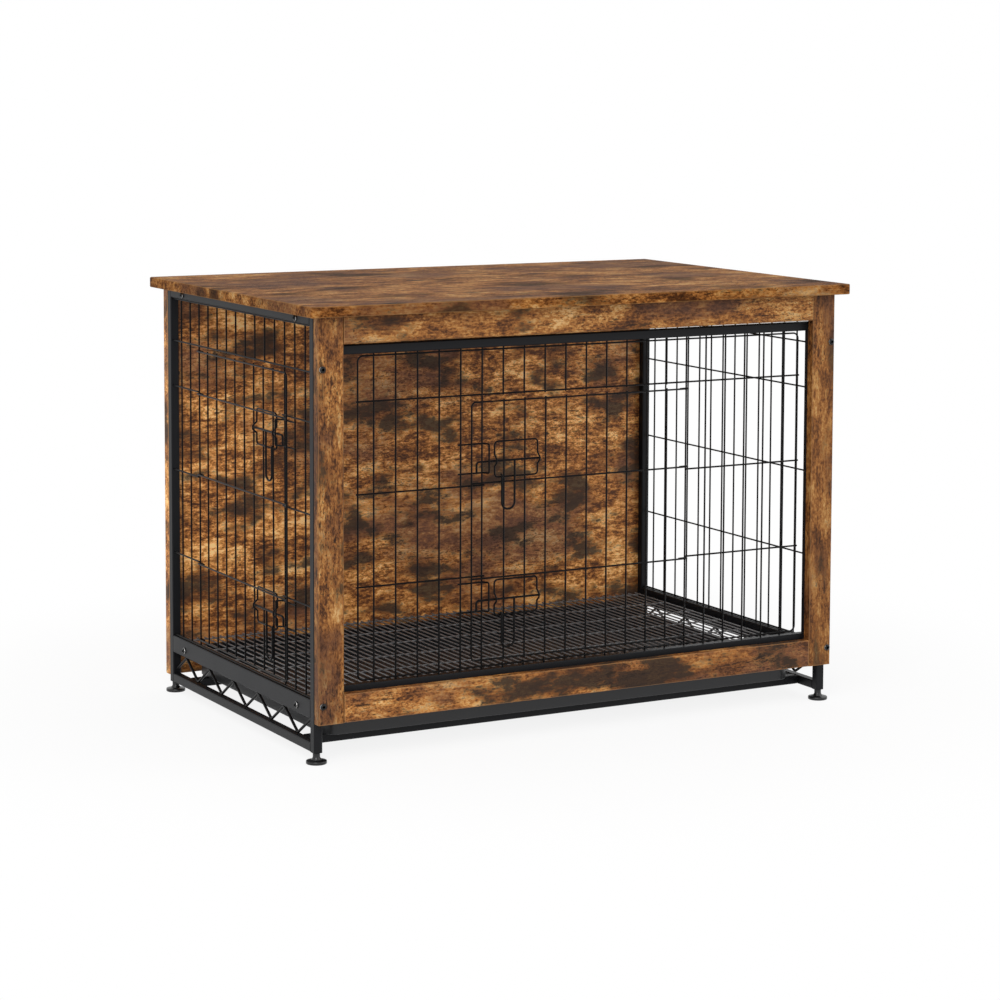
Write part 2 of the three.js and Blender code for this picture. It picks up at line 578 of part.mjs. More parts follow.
const sideUpright = (n) => (n - (SIDE_COUNT - 1) / 2) * SIDE_PITCH;
const sideDoor = {
  hand: 1,
  length: (SIDE_HINGE_INDEX - SIDE_BORDER_INDEX) * SIDE_PITCH + SIDE_DOOR_OVERLAP,
  pitch: SIDE_PITCH,
  count: SIDE_HINGE_INDEX - SIDE_BORDER_INDEX - 1,
  top: SIDE_UPPER_WIRE - SIDE_DOOR_TOP_DROP,
  bottom: SIDE_BAR_TOP + SIDE_DOOR_BOTTOM_RISE,
  crossHeights: SIDE_RAILS.map((z, i) => (i === 1 ? z + DOOR_STEP : z - DOOR_STEP)),
  setback: SIDE_LATCH_SETBACK,
  latches: SIDE_LATCH_HEIGHTS,
  keeperRise: SIDE_KEEPER_RISE,
};
sideDoor.lean = doorLean(sideDoor.length);
sideDoor.border = (SIDE_HINGE_INDEX - SIDE_BORDER_INDEX) * SIDE_PITCH;
sideDoor.carrier = sideDoor.border + SIDE_PITCH;

const FRONT_HINGE = [frontUpright(FRONT_HINGE_INDEX), FRONT_Y];

/** The front grid: uprights, cross wires and outer wire round the doorway, with two keepers. */
function frontGrid() {
  const bottom = FRONT_BAR_TOP + GAP;
  const top = FRONT_BAR_UPPER - GAP;
  const ringTop = FRONT_BAR_UPPER - RING_TOP_DROP;
  const ringBottom = FRONT_BAR_TOP + RING_BOTTOM_RISE;
  const ringLeft = frontUpright(0) - RING_SIDE;
  const ringRight = frontUpright(FRONT_COUNT - 1) + RING_SIDE;
  const crossY = FRONT_Y - LAYER;
  const pieces = [];
  for (let n = 0; n < FRONT_COUNT; n += 1) {
    const place = [frontUpright(n), FRONT_Y];
    if (n > FRONT_BORDER_INDEX && n < FRONT_HINGE_INDEX) {
      pieces.push(straightWire('z', FRONT_RAIL_TOP - WIRE_OVERSHOOT, top, place));
      pieces.push(straightWire('z', bottom, ringBottom + WIRE_OVERSHOOT, place));
    } else pieces.push(straightWire('z', bottom, top, place));
  }
  const left = ringLeft - WIRE_OVERSHOOT;
  const right = ringRight + WIRE_OVERSHOOT;
  pieces.push(straightWire('x', left, right, [crossY, FRONT_RAIL_TOP]));
  for (const z of [FRONT_RAIL_MIDDLE, FRONT_RAIL_LOW]) {
    pieces.push(straightWire('x', left, frontUpright(FRONT_BORDER_INDEX) + WIRE_OVERSHOOT, [crossY, z]));
    pieces.push(straightWire('x', frontUpright(FRONT_HINGE_INDEX), right, [crossY, z]));
  }
  const halfRing = (x, seam) => {
    const corners = [point(seam, crossY, ringTop), point(x, crossY, ringTop)];
    corners.push(point(x, crossY, ringBottom), point(seam, crossY, ringBottom));
    return bentWire(rounded(corners, RING_CORNER));
  };
  const seam = (frontUpright(0) + frontUpright(1)) / 2;
  pieces.push(halfRing(ringLeft, seam), halfRing(ringRight, seam));
  for (const z of FRONT_LATCH_HEIGHTS) pieces.push(keeper(FRONT_HINGE, frontDoor, z));
  return joined(pieces);
}

/** A side grid seen from outside, drawn flat with its front end at -x or +x. */
function sideGrid(front, hasDoor) {
  const bottom = SIDE_BAR_TOP + GAP;
  const top = SIDE_TOP_UNDER - GAP;
  const reach = FRAME_Y - TUBE - GAP;
  const upright = (n) => front * -sideUpright(n);
  const pieces = [];
  for (let n = 0; n < SIDE_COUNT; n += 1) {
    const interrupted = hasDoor && n > SIDE_BORDER_INDEX && n < SIDE_HINGE_INDEX;
    const from = interrupted ? SIDE_UPPER_WIRE - WIRE_OVERSHOOT : bottom;
    pieces.push(straightWire('z', from, top, [upright(n), 0]));
  }
  const topWire = SIDE_TOP_UNDER - SIDE_TOP_WIRE_DROP;
  const bottomWire = SIDE_BAR_TOP + SIDE_BOTTOM_WIRE_RISE;
  const middle = hasDoor ? [] : SIDE_RAILS;
  const whole = [topWire, SIDE_UPPER_WIRE, ...middle, bottomWire];
  for (const z of whole) pieces.push(straightWire('x', -reach, reach, [-LAYER, z]));
  if (!hasDoor) return joined(pieces);
  for (const z of SIDE_RAILS) {
    const borderEnd = upright(SIDE_BORDER_INDEX) - front * WIRE_OVERSHOOT;
    const spans = [
      [front * reach, borderEnd],
      [upright(SIDE_HINGE_INDEX), -front * reach],
    ];
    for (const span of spans) {
      const [from, to] = span.sort((a, b) => a - b);
      pieces.push(straightWire('x', from, to, [-LAYER, z]));
    }
  }
  const hinge = [upright(SIDE_HINGE_INDEX), 0];
  for (const z of SIDE_LATCH_HEIGHTS) pieces.push(keeper(hinge, sideDoor, z));
  return joined(pieces);
}

/** The floor: close wires from front to back, welded on a few cross wires. */
function floorGrid() {
  const wireZ = FLOOR_BAR_BASE + TUBE + GAP + FLOOR_WIRE / 2;
  const crossZ = wireZ - (FLOOR_WIRE - JOIN);
  const xEnd = FRAME_X - TUBE - FLOOR_MARGIN - FLOOR_WIRE / 2;
  const yEnd = FRAME_Y - FLOOR_END_MARGIN;
  const count = 2 * Math.floor(xEnd / FLOOR_PITCH) + 1;
  const pieces = [];
  for (let n = 0; n < count; n += 1) {
    const x = (n - (count - 1) / 2) * FLOOR_PITCH;
    const wire = new THREE.CylinderGeometry(FLOOR_WIRE / 2, FLOOR_WIRE / 2, 2 * yEnd, STRAIGHT_SIDES);
    pieces.push(wire.translate(x, 0, wireZ));
  }
  const crossEnd = yEnd - FLOOR_CROSS_INSET;
  const crossX = ((count - 1) / 2) * FLOOR_PITCH + FLOOR_WIRE / 2;
  for (let n = 0; n < FLOOR_CROSS_WIRES; n += 1) {
    const y = -crossEnd + (2 * crossEnd * n) / (FLOOR_CROSS_WIRES - 1);
    pieces.push(straightWire('x', -crossX, crossX, [y, crossZ], FLOOR_WIRE));
  }
  return joined(pieces);
}

// ---- Tray, feet and fasteners ----------------------------------------------------------------
/** A rectangle with round corners. */
function roundedRectangle(x0, x1, y0, y1, radius) {
  const shape = new THREE.Shape();
  shape.moveTo(x0 + radius, y0).lineTo(x1 - radius, y0);
  shape.absarc(x1 - radius, y0 + radius, radius, -Math.PI / 2, 0);
  shape.lineTo(x1, y1 - radius).absarc(x1 - radius, y1 - radius, radius, 0, Math.PI / 2);
  shape.lineTo(x0 + radius, y1).absarc(x0 + radius, y1 - radius, radius, Math.PI / 2, Math.PI);
  shape.lineTo(x0, y0 + radius).absarc(x0 + radius, y0 + radius, radius, Math.PI, 1.5 * Math.PI);
  return shape;
}

/** The pull-out tray, with an outward lip along its rim. */
function tray() {
  const x1 = FRAME_X - TRAY_SIDE_MARGIN;
  const x0 = -x1;
  const [y0, y1] = [-FRAME_Y + TRAY_SETBACK, FRAME_Y - TRAY_BACK_MARGIN];
  const base = LOWER_RAIL_TOP + GAP;
  const slab = (grow, depth, z) => {
    const outline = roundedRectangle(x0 - grow, x1 + grow, y0 - grow, y1 + grow, TRAY_CORNER + grow);
    const options = { depth, bevelEnabled: false, curveSegments: 3 };
    return new THREE.ExtrudeGeometry(outline, options).translate(0, 0, z);
  };
  const body = solid(slab(0, TRAY_HEIGHT, base));
  const lip = solid(slab(TRAY_LIP, TRAY_WALL, base + TRAY_HEIGHT - TRAY_WALL));
  const inside = solid(slab(-TRAY_WALL, TRAY_HEIGHT, base + TRAY_WALL));
  return geometryOf(body.add(lip).subtract(inside));
}

/** A levelling foot with its disc on the floor and its stem in the leg. */
function foot() {
  const profile = [
    [0, 0],
    [FOOT_RADIUS - FOOT_EASE, 0],
    [FOOT_RADIUS, FOOT_EASE],
    [FOOT_RADIUS, FOOT_DISC - FOOT_EASE],
    [FOOT_NUT_RADIUS, FOOT_CONE_TOP],
    [FOOT_NUT_RADIUS, LEG_FLOOR_GAP - GAP],
    [FOOT_STEM, LEG_FLOOR_GAP - GAP],
    [FOOT_STEM, LEG_FLOOR_GAP + FOOT_STEM_DEPTH],
    [0, LEG_FLOOR_GAP + FOOT_STEM_DEPTH],
  ].map(([radius, height]) => new THREE.Vector2(radius, height));
  return new THREE.LatheGeometry(profile, FOOT_SIDES).rotateX(Math.PI / 2);
}

/** A bolt along +z: the head from z = 0 upward and the shank below. */
function bolt(shankLength) {
  const profile = [
    [0, -shankLength],
    [BOLT_SHANK, -shankLength],
    [BOLT_SHANK, 0],
    [BOLT_HEAD, 0],
    [BOLT_HEAD - BOLT_DOME, BOLT_HEAD_HEIGHT],
    [0, BOLT_HEAD_HEIGHT],
  ].map(([radius, height]) => new THREE.Vector2(radius, height));
  return new THREE.LatheGeometry(profile, BOLT_SIDES).rotateX(Math.PI / 2);
}

// ---- Assembly --------------------------------------------------------------------------------
const table = new THREE.Group();

function place(name, geometry, material, position = [0, 0, 0], rotation = [0, 0, 0]) {
  const mesh = new THREE.Mesh(geometry, material());
  mesh.name = name;
  mesh.position.set(...position);
  mesh.rotation.set(...rotation);
  table.add(mesh);
}

const SIDES = [
  ['left', -1],
  ['right', 1],
];
const ENDS = [
  ['front', -1],
  ['back', 1],
];
const QUARTER = Math.PI / 2;

place('tabletop', tabletop(), wood);
place('back_panel', backPanel(), wood);
place('front_top_rail', frontRail(TOP_UNDER - RAIL_TOP_HEIGHT, TOP_UNDER - GAP), wood);
place('front_bottom_rail', frontRail(POST_FLOOR_GAP, POST_FLOOR_GAP + RAIL_BOTTOM_HEIGHT), wood);
place('front_frame_top_bar', frontBar(FRONT_BAR_UPPER), powderCoat);
place('front_frame_bottom_bar', frontBar(FRONT_BAR_FLOOR_GAP), powderCoat);

for (const [sideName, side] of SIDES) {
  place(`front_post_${sideName}`, frontPost(side), wood);
  place(`front_frame_stile_${sideName}`, frontStile(side), powderCoat);
  const topBar = sideBar(side, SIDE_TOP_UNDER, TOP_UNDER - GAP, TOP_BOLT);
  const bottomBar = sideBar(side, SIDE_BAR_FLOOR_GAP, SIDE_BAR_TOP, FLOOR_BOLT);
  place(`side_top_bar_${sideName}`, topBar, powderCoat);
  place(`side_bottom_bar_${sideName}`, bottomBar, powderCoat);
  place(`lower_rail_${sideName}`, sideBar(side, LEG_FLOOR_GAP, LOWER_RAIL_TOP), powderCoat);
  place(`truss_${sideName}`, truss(side), blackWire);
  for (const [endName, end] of ENDS) {
    place(`leg_${endName}_${sideName}`, leg(side, end), powderCoat);
    place(`foot_${endName}_${sideName}`, foot(), blackPlastic, [side * LEG_X, end * LEG_Y, 0]);
  }
}

for (const [endName, end] of ENDS) {
  place(`top_cross_bar_${endName}`, crossBar(end, SIDE_TOP_UNDER, true), powderCoat);
  place(`floor_cross_bar_${endName}`, crossBar(end, FLOOR_BAR_BASE, true), powderCoat);
  place(`lower_cross_bar_${endName}`, crossBar(end, LEG_FLOOR_GAP, false), powderCoat);
}

for (const [sideName, side] of SIDES) {
  for (const [endName, end] of ENDS) {
    const turn = [-end * QUARTER, 0, 0];
    const face = end * (FRAME_Y + BOARD + GAP);
    for (const [level, z] of [['upper', POST_BOLT_TOP], ['lower', POST_BOLT_BOTTOM]]) {
      const name = `${endName}_bolt_${level}_${sideName}`;
      place(name, bolt(BOARD + BOLT_BITE), darkSteel, [side * LEG_X, face, z], turn);
    }
    const tilt = [0, side * QUARTER, 0];
    for (const [level, z] of [['top', TOP_BOLT], ['floor', FLOOR_BOLT]]) {
      const name = `side_bolt_${level}_${endName}_${sideName}`;
      place(name, bolt(TUBE + BOLT_BITE), darkSteel, [side * (FRAME_X + GAP), end * CROSS_Y, z], tilt);
    }
  }
}

place('front_grid', frontGrid(), blackWire);
place('left_grid', sideGrid(1, true), blackWire, [-LEG_X, 0, 0], [0, 0, -QUARTER]);
place('right_grid', sideGrid(-1, false), blackWire, [LEG_X, 0, 0], [0, 0, QUARTER]);
place('floor_grid', floorGrid(), blackWire);
place('tray', tray(), blackPlastic);

const doorPlaces = [
  ['front', frontDoor, [...FRONT_HINGE, 0], frontDoor.lean],
  ['left', sideDoor, [-LEG_X, sideUpright(SIDE_HINGE_INDEX), 0], -QUARTER - sideDoor.lean],
];
for (const [name, door, hinge, turn] of doorPlaces) {
  place(`${name}_door`, wireDoor(door), blackWire, hinge, [0, 0, turn]);
  door.latches.forEach((z, i) => {
    const latch = slideBolt(door.hand, door.length, door.length - door.setback, z);
    place(`${name}_latch_${i === 0 ? 'upper' : 'lower'}`, latch, blackWire, hinge, [0, 0, turn]);
  });
}

export default table;
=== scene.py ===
"""The dog crate end table dressed for the camera: boards, coated tube, welded wire, doors and tray."""
import json
import logging
import math
from dataclasses import dataclass, field
from enum import Enum
from typing import Any, Sequence

import bmesh
import bpy
from bmesh.types import BMEdge, BMesh, BMFace, BMVert
from bpy.types import Material, Node, NodeSocket, Object, World
from mathutils import Matrix, Vector


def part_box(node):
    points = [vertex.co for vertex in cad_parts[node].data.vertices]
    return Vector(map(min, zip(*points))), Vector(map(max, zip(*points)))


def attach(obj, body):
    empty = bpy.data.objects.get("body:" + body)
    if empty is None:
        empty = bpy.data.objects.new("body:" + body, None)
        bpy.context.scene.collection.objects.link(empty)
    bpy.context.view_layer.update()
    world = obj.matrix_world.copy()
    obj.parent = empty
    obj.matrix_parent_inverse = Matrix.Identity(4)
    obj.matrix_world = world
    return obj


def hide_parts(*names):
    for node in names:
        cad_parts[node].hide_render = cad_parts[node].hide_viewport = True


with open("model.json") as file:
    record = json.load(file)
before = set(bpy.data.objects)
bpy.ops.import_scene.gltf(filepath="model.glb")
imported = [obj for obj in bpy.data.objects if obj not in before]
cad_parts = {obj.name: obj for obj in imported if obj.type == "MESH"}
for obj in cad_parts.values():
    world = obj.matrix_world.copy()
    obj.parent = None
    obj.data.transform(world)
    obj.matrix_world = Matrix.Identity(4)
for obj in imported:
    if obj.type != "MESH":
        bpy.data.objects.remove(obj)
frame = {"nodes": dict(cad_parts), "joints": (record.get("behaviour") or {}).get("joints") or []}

LOG = logging.getLogger("crate")
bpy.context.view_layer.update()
Point = tuple[float, float, float]
Ramp = tuple[float, float, float, float]
WHITE = (1.0, 1.0, 1.0, 1.0)
SHARP_ANGLE = math.radians(35.0)


# ---- Shader graphs ----
@dataclass
class Wire:
    """A shader socket that can be used in Python expressions."""

    graph: "Graph"
    socket: NodeSocket

    def _math(self, operation: str, *values: Any) -> "Wire":
        """One Math node.

        Args:
            operation: The Math node's operation.
            *values: Wrapped sockets or numbers.

        Returns:
            The node's value, wrapped.
        """
        return self.graph.add("Math", {"operation": operation}, dict(enumerate(values)))

    def __add__(self, other: Any) -> "Wire":
        """Sum."""
        return self._math("ADD", self, other)

    def __sub__(self, other: Any) -> "Wire":
        """Difference."""
        return self._math("SUBTRACT", self, other)

    def __rsub__(self, other: Any) -> "Wire":
        """A number less this value."""
        return self._math("SUBTRACT", other, self)

    def __mul__(self, other: Any) -> "Wire":
        """Product."""
        return self._math("MULTIPLY", self, other)

    def __abs__(self) -> "Wire":
        """Absolute value."""
        return self._math("ABSOLUTE", self)

    def larger(self, other: Any) -> "Wire":
        """The larger of two values."""
        return self._math("MAXIMUM", self, other)

    def ramp(self, low: float, high: float, start: float = 0.0, end: float = 1.0) -> "Wire":
        """Eases from one value to another while this value goes from low to high.

        Args:
            low: Where the change starts.
            high: Where it ends.
            start: The result below low.
            end: The result above high.

        Returns:
            The eased value, wrapped.
        """
        settings = {"interpolation_type": "SMOOTHSTEP", "clamp": True}
        return self.graph.add("MapRange", settings, {0: self, 1: low, 2: high, 3: start, 4: end})


class Graph:
    """The nodes of a material or a world under construction."""

    def __init__(self, owner: Material | World) -> None:
        """Clears the owner's nodes.

        Args:
            owner: The material or world.
        """
        owner.use_nodes = True
        self.owner = owner
        self.tree = owner.node_tree
        self.tree.nodes.clear()

    def node(self, kind: str, settings: dict[str, Any] | None = None,
             values: dict[Any, Any] | None = None) -> Node:
        """Adds a node, sets it up and feeds its sockets.

        Args:
            kind: The node's type, less its common prefix.
            settings: Properties of the node, set first.
            values: Numbers, tuples or wrapped sockets for the inputs, by name or index.

        Returns:
            The node.
        """
        made = self.tree.nodes.new(f"ShaderNode{kind}")
        for key, value in (settings or {}).items():
            setattr(made, key, value)
        for key, value in (values or {}).items():
            if isinstance(value, Wire):
                self.tree.links.new(value.socket, made.inputs[key])
            else:
                made.inputs[key].default_value = value
        return made

    def add(self, kind: str, settings: dict[str, Any] | None = None,
            values: dict[Any, Any] | None = None, output: Any = 0) -> Wire:
        """Adds a node as above and wraps one of its outputs.

        Args:
            kind: The node's type.
            settings: Its properties.
            values: Its inputs.
            output: The output's name or index.

        Returns:
            The output, wrapped.
        """
        return Wire(self, self.node(kind, settings, values).outputs[output])

    def colours(self, tone: Wire, stops: Sequence[tuple[float, Point]]) -> Wire:
        """Runs a value through a colour ramp.

        Args:
            tone: The value.
            stops: Positions and colours, in order.

        Returns:
            The colour, wrapped.
        """
        ramp = self.node("ValToRGB", None, {"Fac": tone})
        elements = ramp.color_ramp.elements
        while len(elements) < len(stops):
            elements.new(1.0)
        for element, (position, colour) in zip(elements, stops):
            element.position = position
            element.color = (*colour, 1.0)
        return Wire(self, ramp.outputs[0])

    def place(self, scale: Point = (1.0, 1.0, 1.0), shift: Point = (0.0, 0.0, 0.0)) -> Wire:
        """Object coordinates, shifted and stretched.

        Args:
            scale: Stretch along each axis.
            shift: Shift after stretching.

        Returns:
            The coordinates, wrapped.
        """
        raw = self.add("TexCoord", output="Object")
        return self.add("Mapping", values={"Vector": raw, "Scale": scale, "Location": shift})

    def noise(self, where: Wire, scale: float, detail: float = 3.0, roughness: float = 0.5) -> Wire:
        """A noise pattern's value.

        Args:
            where: Coordinates.
            scale: Pattern scale, per metre.
            detail: Octaves.
            roughness: Weight of the finer octaves.

        Returns:
            The pattern, 0 to 1.
        """
        values = {"Vector": where, "Scale": scale, "Detail": detail, "Roughness": roughness}
        return self.add("TexNoise", None, values, "Fac")

    def mix(self, share: Any, first: Any, second: Any, blend: str = "MIX") -> Wire:
        """Mixes two colours.

        Args:
            share: How much of the second colour.
            first: A colour or a wrapped socket.
            second: A colour or a wrapped socket.
            blend: The Mix node's blend type.

        Returns:
            The mixed colour.
        """
        settings = {"data_type": "RGBA", "blend_type": blend}
        values = {"Factor": share, 6: first, 7: second}
        return self.add("Mix", settings, values, 2)

    def surface(self, values: dict[str, Any], bump: Wire, depth: float) -> Material:
        """Ends the material in one Principled surface.

        Args:
            values: The surface's inputs.
            bump: Height pattern.
            depth: The pattern's depth in metres.

        Returns:
            The finished material.
        """
        normal = self.add("Bump", None, {"Height": bump, "Distance": depth, "Strength": 1.0})
        shader = self.add("BsdfPrincipled", None, {**values, "Normal": normal})
        self.node("OutputMaterial", None, {"Surface": shader})
        return self.owner

    def seen(self) -> Wire:
        """Finds the rays that come from the camera, straight or by way of a shiny or clear surface.

        Returns:
            1 for such a ray and 0 for any other.
        """
        rays = self.node("LightPath").outputs
        share = Wire(self, rays["Is Camera Ray"])
        for kind in ("Is Glossy Ray", "Is Transmission Ray"):
            share = share.larger(Wire(self, rays[kind]))
        return share


class Grain(Enum):
    """Which way a board's grain runs."""

    ACROSS = "x"
    UPRIGHT = "z"


@dataclass(frozen=True)
class Layer:
    """One noise pattern of the wood."""

    along: float
    shift: float
    scale: float
    detail: float
    roughness: float


@dataclass(frozen=True)
class RusticWood:
    """Rustic brown board: streaked grain, cloudy dark patches, knots, saw marks and worn edges; its whole
    colour is scaled by a painted light gain, which paints light and shade.
    """

    node: str
    grain: Grain
    seed: float
    # Painted light and shade: a factor on the board's whole colour that stands in for how much light this
    # board gets.
    painted_light_gain: float
    patch_start: float
    patch_depth: float
    contrast: float
    crack_start: float = 0.42
    gloss: float = 0.3
    blotch: float = 17.0
    char: Point = (0.027, 0.016, 0.0105)
    crack: Point = (0.015, 0.0065, 0.003)
    rosewood: Point = (0.135, 0.059, 0.035)
    tones: tuple[tuple[float, Point], ...] = (
        (0.02, (0.066, 0.022, 0.0062)), (0.27, (0.185, 0.064, 0.0155)), (0.52, (0.4, 0.15, 0.034)),
        (0.8, (0.66, 0.325, 0.095)), (1.0, (0.82, 0.5, 0.21)))
    worn: Point = (0.43, 0.22, 0.085)
    wear_share: float = 0.55
    edge_width: float = 0.0015
    patch_width: float = 0.1
    crack_width: float = 0.14
    rosy_ramp: Ramp = (0.5, 0.62, 0.0, 0.62)
    split_ramp: Ramp = (0.34, 0.42, 0.85, 0.0)
    grit_ramp: Ramp = (0.33, 0.41, 0.7, 0.0)
    knot_ramp: Ramp = (0.03, 0.085, 0.9, 0.0)
    knot_scale: float = 6.0
    roughness: float = 0.48
    depth: float = 0.00025

    def _layers(self) -> dict[str, Layer]:
        """Lists the noise patterns.

        Returns:
            Each pattern by its name.
        """
        return {
            "fibre": Layer(0.07, 0.0, 420.0, 3.0, 0.6),
            "streak": Layer(0.1, 3.1, 85.0, 5.0, 0.65),
            "board": Layer(0.45, 7.7, self.blotch, 4.0, 0.62),
            "mottle": Layer(0.45, 5.2, 45.0, 6.0, 0.75),
            "fleck": Layer(0.5, 6.6, 300.0, 3.0, 0.7),
            "cloud": Layer(0.5, 1.9, self.blotch, 5.0, 0.6),
            "cluster": Layer(0.45, 8.3, 12.0, 3.0, 0.55),
            "hue": Layer(0.55, 12.6, 7.5, 4.0, 0.6),
            "split": Layer(0.2, 4.4, 230.0, 3.0, 0.65),
            "grit": Layer(0.45, 2.2, 560.0, 1.0, 0.5),
        }

    def _stretched(self, graph: Graph, along: float, shift: float) -> Wire:
        """Coordinates stretched along the grain.

        Args:
            graph: The graph to work in.
            along: Scale along the grain.
            shift: Extra shift, so that patterns differ.

        Returns:
            The coordinates, wrapped.
        """
        scale = (along, 1.0, 1.0) if self.grain is Grain.ACROSS else (1.0, 1.0, along)
        move = self.seed + shift
        return graph.place(scale, (move, move * 0.7, move * 1.3))

    @staticmethod
    def _sum(patterns: dict[str, Wire], **weights: float) -> Wire:
        """Adds patterns up about their middle value.

        Args:
            patterns: The noise patterns by name.
            **weights: How much of each pattern.

        Returns:
            The sum, wrapped.
        """
        terms = [(patterns[name] - 0.5) * weight for name, weight in weights.items()]
        return sum(terms[1:], terms[0])

    def _edge_wear(self, graph: Graph) -> Wire:
        """A mask that is 1 along the board's long edges.

        Args:
            graph: The graph to work in.

        Returns:
            The mask, wrapped.
        """
        low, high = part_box(self.node)
        raw = graph.add("TexCoord", output="Object")
        split = graph.node("SeparateXYZ", None, {0: raw})
        insets = []
        for axis in range(3):
            middle = (low[axis] + high[axis]) / 2
            half = (high[axis] - low[axis]) / 2
            insets.append(half - abs(Wire(graph, split.outputs[axis]) - middle))
        near = [inset.ramp(self.edge_width * 0.5, self.edge_width, 1.0, 0.0) for inset in insets]
        pairs = [near[0] * near[1], near[1] * near[2], near[0] * near[2]]
        return pairs[0].larger(pairs[1]).larger(pairs[2])

    def make(self) -> Material:
        """Builds the material.

        Returns:
            The finished wood.
        """
        graph = Graph(bpy.data.materials.new(f"wood_{self.node}"))
        noise = {name: graph.noise(self._stretched(graph, layer.along, layer.shift), layer.scale,
                                   layer.detail, layer.roughness)
                 for name, layer in self._layers().items()}
        mixture = self._sum(noise, board=1.0, streak=0.8, mottle=2.1, fibre=0.5, fleck=1.5)
        tone = mixture * self.contrast + 0.5
        colour = graph.colours(tone, self.tones)
        rosy = (noise["hue"] + self._sum(noise, fleck=0.35)).ramp(*self.rosy_ramp)
        ragged = noise["cloud"] + self._sum(noise, mottle=0.42, streak=0.16, fleck=0.2)
        patches = ragged.ramp(self.patch_start, self.patch_start + self.patch_width, 0.0, self.patch_depth)
        marks = noise["split"].ramp(*self.split_ramp).larger(noise["grit"].ramp(*self.grit_ramp))
        cracks = marks * noise["cluster"].ramp(self.crack_start, self.crack_start + self.crack_width)
        values = {"Vector": self._stretched(graph, 0.6, 2.6), "Scale": self.knot_scale}
        spots = graph.add("TexVoronoi", {"feature": "F1"}, values, "Distance")
        knots = (spots + self._sum(noise, mottle=0.12)).ramp(*self.knot_ramp)
        wear = self._edge_wear(graph) * self.wear_share
        for share, paint in ((rosy, self.rosewood), (patches, self.char), (cracks, self.crack),
                             (knots, self.crack), (wear, self.worn)):
            colour = graph.mix(share, colour, (*paint, 1.0))
        # Painted light and shade: the whole colour is scaled by the board's painted light gain.
        colour = graph.mix(1.0, colour, (self.painted_light_gain,) * 3 + (1.0,), "MULTIPLY")
        rough = noise["fibre"] * 0.2 + patches * 0.1 + self.roughness
        height = noise["fibre"] * 0.6 + noise["mottle"] * 0.4 - cracks * 0.5
        return graph.surface({"Base Color": colour, "Roughness": rough, "Specular IOR Level": self.gloss},
                             height, self.depth)


@dataclass(frozen=True)
class Coating:
    """Paint, coating or moulded plastic with a fine surface."""

    name: str
    colour: Point
    roughness: float
    metallic: float = 0.0
    speckle: float = 900.0
    variation: float = 0.12
    depth: float = 0.00003
    gloss: float = 0.35
    cloud_scale: float = 14.0
    fine_rough: float = 0.12
    broad_rough: float = 0.08

    def make(self) -> Material:
        """Builds the material.

        Returns:
            The finished coating.
        """
        graph = Graph(bpy.data.materials.new(self.name))
        fine = graph.noise(graph.place(), self.speckle, 3.0, 0.6)
        broad = graph.noise(graph.place(), self.cloud_scale)
        low, high = [tuple(channel * (1.0 + change) for channel in self.colour)
                     for change in (-self.variation, self.variation)]
        colour = graph.mix(broad, (*low, 1.0), (*high, 1.0))
        level = self.roughness - (self.fine_rough + self.broad_rough) / 2
        rough = fine * self.fine_rough + broad * self.broad_rough + level
        values = {"Base Color": colour, "Roughness": rough, "Metallic": self.metallic,
                  "Specular IOR Level": self.gloss}
        return graph.surface(values, fine, self.depth)


class Finishes:
    """The finishes that several pieces share, made once."""

    def __init__(self) -> None:
        """Makes every shared finish."""
        self.tube = Coating("tube_coat", (0.0072, 0.0075, 0.0088), 0.4, gloss=0.15).make()
        self.wire = Coating("wire_coat", (0.003, 0.0026, 0.0028), 0.3, speckle=600.0,
                            depth=0.00001, gloss=0.09).make()
        # Painted highlight: the floor wires get a light grey colour in place of the near-black of the other
        # wires, standing in for the highlights along their tops.
        self.floor = Coating("floor_wire_coat", (0.15, 0.15, 0.155), 0.22, speckle=600.0,
                             depth=0.00001, gloss=0.6).make()
        self.plastic = Coating("moulded_plastic", (0.023, 0.0235, 0.025), 0.34, speckle=1500.0).make()
        self.foot = Coating("foot_plastic", (0.0075, 0.0075, 0.008), 0.3, speckle=1500.0, gloss=0.45).make()
        self.bolt = Coating("bolt_black", (0.012, 0.012, 0.0125), 0.35, metallic=0.5, speckle=1200.0).make()
        # Partly wear and partly painted highlight: a bright bare-metal ring on each bolt head's edge,
        # standing in for the rim's highlight.
        self.rim = Coating("bolt_rim_wear_and_highlight", (0.42, 0.41, 0.4), 0.28, metallic=1.0, speckle=1200.0,
                           gloss=0.5).make()


